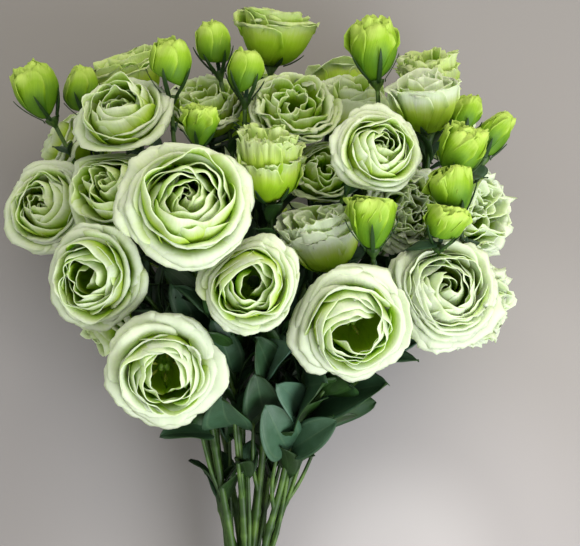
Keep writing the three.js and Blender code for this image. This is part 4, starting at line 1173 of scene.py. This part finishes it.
def make_leaves(name, number, main, branches, shoots, rng):
    """The leaves that LEAVES lists for a stem, with the sepals and the tips of the side shoots."""
    bm = new_mesh()
    for tip, heading in shoots:
        add_pair(bm, tip - heading * 2, heading, rng.uniform(*SHOOT_LEAF), rng)
    for flower, _ in branches:
        for k in range(PETALS_IN_RING):
            add_sepal(bm, flower, (k + 0.2) * math.tau / PETALS_IN_RING + flower.seed, rng)
    for leaf in LEAVES:
        if leaf.stem == number:
            base, tip, face = through(main, leaf.up), pictured(*leaf.tip), Vector(leaf.face)
            add_blade(bm, base, tip, face, leaf.width, leaf.bow, leaf.wax, rng, LEAF_GRID)
    finish_piece(bm, f"{name}_leaves", [leaf_skin, leaf_underside], (name,), LEAF_THICKNESS)


def make_bracts(name, main, branches, rng):
    """The pairs of small leaves along a stem and its branches, kept out of the flowers."""
    bm = new_mesh()
    for up in STEM_PAIRS:
        add_pair(bm, through(main, up), heading_through(main, up), STEM_PAIR_LENGTH, rng)
    for flower, route in branches:
        for t, length in BRANCH_PAIRS:
            length *= mix(1, 0.45, t) if flower.is_bud else 1
            add_pair(bm, bezier(route, t), bezier_heading(route, t), length, rng)
    keep_off_flowers(bm)
    finish_piece(bm, f"{name}_bracts", [leaf_skin, leaf_underside], (name,), LEAF_THICKNESS)


def make_stem(index, stem):
    rng = random.Random(STEM_SEEDS + index)
    number = index + 1
    name = f"leafy_stem_{number:02d}"
    main = main_route(stem)
    branches = list(branch_routes(stem))
    shoots = make_stalks(name, main, branches, rng)
    make_leaves(name, number, main, branches, shoots, rng)
    make_bracts(name, main, branches, rng)


flowers = [Flower(row, f"bloom_{i:02d}", i) for i, row in enumerate(BLOOMS, 1)]
flowers += [Flower(row, f"bud_{i:02d}", i) for i, row in enumerate(BUDS, 1)]
for flower in flowers:
    if flower.is_bud:
        make_bud(flower)
    else:
        make_bloom(flower)
for index, stem in enumerate(STEMS):
    make_stem(index, stem)


# ---------------------------------------------------------------- the tie
TWINE_RADIUS = 1.6
TWINE_TURNS = 3
SOLID_STEM_RADIUS = 2.7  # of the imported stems, which the twine goes round
KNOT_ENDS = ((1, 1.4), (-1, 3.4))  # which way an end goes, and how high it crosses the turns


def make_tie():
    """Three turns of jute twine round the stems, with a knot in front."""
    bm = new_mesh()
    ring = OUTER_RING + SOLID_STEM_RADIUS + CLEARANCE + TWINE_RADIUS

    def turns(t):
        angle = math.tau * TWINE_TURNS * t
        rise = (2 * t - 1) * TWINE_RADIUS * (TWINE_TURNS - 1)
        return Vector((AXIS_X + ring * math.cos(angle), TIE_Y + rise, ring * math.sin(angle)))

    add_tube(bm, turns, lambda t: TWINE_RADIUS, 10, 240)
    # The two ends of the knot cross over the turns and are cut short below them.
    front = Vector((AXIS_X, TIE_Y, ring + TWINE_RADIUS))
    for side, over in KNOT_ENDS:
        crossing = [(-8, 4.5, -2.5), (-3, 2.6, over), (3, -2.4, over), (6.5, -7, 0.5), (7, -15, 0.5)]
        points = [front + Vector((x * side, y, z)) for x, y, z in crossing]
        add_tube(bm, lambda t: through(points, t), lambda t: TWINE_RADIUS, 10, 40)
    finish_piece(bm, "twine_turns", [twine_skin], ("twine_tie",))


make_tie()


# ---------------------------------------------------------------- the room
TABLE_REACH = 4  # m from its middle to its edge
SKY_COLOUR = "#e8e6e4"
SKY_STRENGTH = 1.25

# The table's colour holds a painted pool of light: it is palest under the stems at the right, and
# darkens away from there.
PAINTED_POOL_MIDDLE = (400, 560)  # pixels: the middle of the painted pool of light
PAINTED_POOL_REACH = 0.4  # m, over which the painted light passes through these shades
# The painted shades of the table, from the middle of the pool of light outwards.
PAINTED_POOL_STOPS = ((0.05, "#a09d9b"), (0.2, "#8e8b89"), (0.4, "#85827f"), (0.63, "#7a7774"), (1, "#757370"))

# Each light: its place and the place that it shines at, in metres, its size, its power in watts.
Light = namedtuple("Light", "name place aim size power tint")
LIGHTS = (
    Light("window", (0.75, -0.75, 0.9), (0, 0, 0.1), 0.9, 25, "#f4f7ff"),
    Light("fill", (0.45, 0.85, 1.0), (0, 0.05, 0.1), 1.4, 13, "#fff2e0"),
)

LENS = 107  # mm
SENSOR = 36  # mm


def table_material():
    """A pale, matte table top, with a painted pool of light in its colour."""
    material, tree = new_material("pale_table_painted_light")
    where = add_node(tree, "TexCoord")
    # The middle of the painted pool of light, on the table.
    pool_middle = laid_down @ pictured(*PAINTED_POOL_MIDDLE, 0)
    away = add_node(
        tree, "VectorMath", operation="DISTANCE",
        inputs={0: where.outputs["Object"], 1: (pool_middle.x, pool_middle.y, 0)},
    )
    level = add_node(
        tree, "Math", operation="DIVIDE", inputs={0: away.outputs["Value"], 1: PAINTED_POOL_REACH}
    )
    shade = add_node(tree, "ValToRGB", stops=PAINTED_POOL_STOPS, inputs={"Fac": level.outputs[0]})
    shade.color_ramp.interpolation = "EASE"
    skin = add_node(tree, "BsdfPrincipled", inputs={"Base Color": shade.outputs[0], "Roughness": 0.8})
    add_node(tree, "OutputMaterial", inputs={"Surface": skin.outputs[0]})
    return material


def make_table():
    mesh = bpy.data.meshes.new("table_top")
    bm = bmesh.new()
    bmesh.ops.create_grid(bm, x_segments=1, y_segments=1, size=TABLE_REACH)
    bm.to_mesh(mesh)
    bm.free()
    mesh.materials.append(table_material())
    table = bpy.data.objects.new("table_top", mesh)
    bpy.context.scene.collection.objects.link(table)
    table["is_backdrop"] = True


def make_sky():
    world = bpy.data.worlds.new("soft_room")
    world.use_nodes = True
    sky = world.node_tree.nodes["Background"]
    sky.inputs["Color"].default_value = colour(SKY_COLOUR)
    sky.inputs["Strength"].default_value = SKY_STRENGTH
    bpy.context.scene.world = world


def add_light(row):
    data = bpy.data.lights.new(row.name, "AREA")
    data.shape = "DISK"
    data.size = row.size
    data.energy = row.power
    data.color = colour(row.tint)[:3]
    light = bpy.data.objects.new(row.name, data)
    bpy.context.scene.collection.objects.link(light)
    light.location = row.place
    light.rotation_euler = (Vector(row.aim) - Vector(row.place)).to_track_quat("-Z", "Y").to_euler()


def add_viewer():
    """The camera, where the picture was taken from."""
    data = bpy.data.cameras.new("viewer")
    data.lens = LENS
    data.sensor_width = SENSOR
    data.clip_start = 0.01
    viewer = bpy.data.objects.new("viewer", data)
    bpy.context.scene.collection.objects.link(viewer)
    eye = laid_down @ Vector((0, 0, VIEW_DISTANCE))
    viewer.matrix_world = Matrix.Translation(eye) @ Matrix.Rotation(LAID_BACK, 4, "X")
    bpy.context.scene.camera = viewer


make_table()
make_sky()
for row in LIGHTS:
    add_light(row)
add_viewer()
bpy.context.scene.view_settings.view_transform = "Standard"

shown_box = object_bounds()
str([list(corner) for box in (cad_box, shown_box) for corner in box])
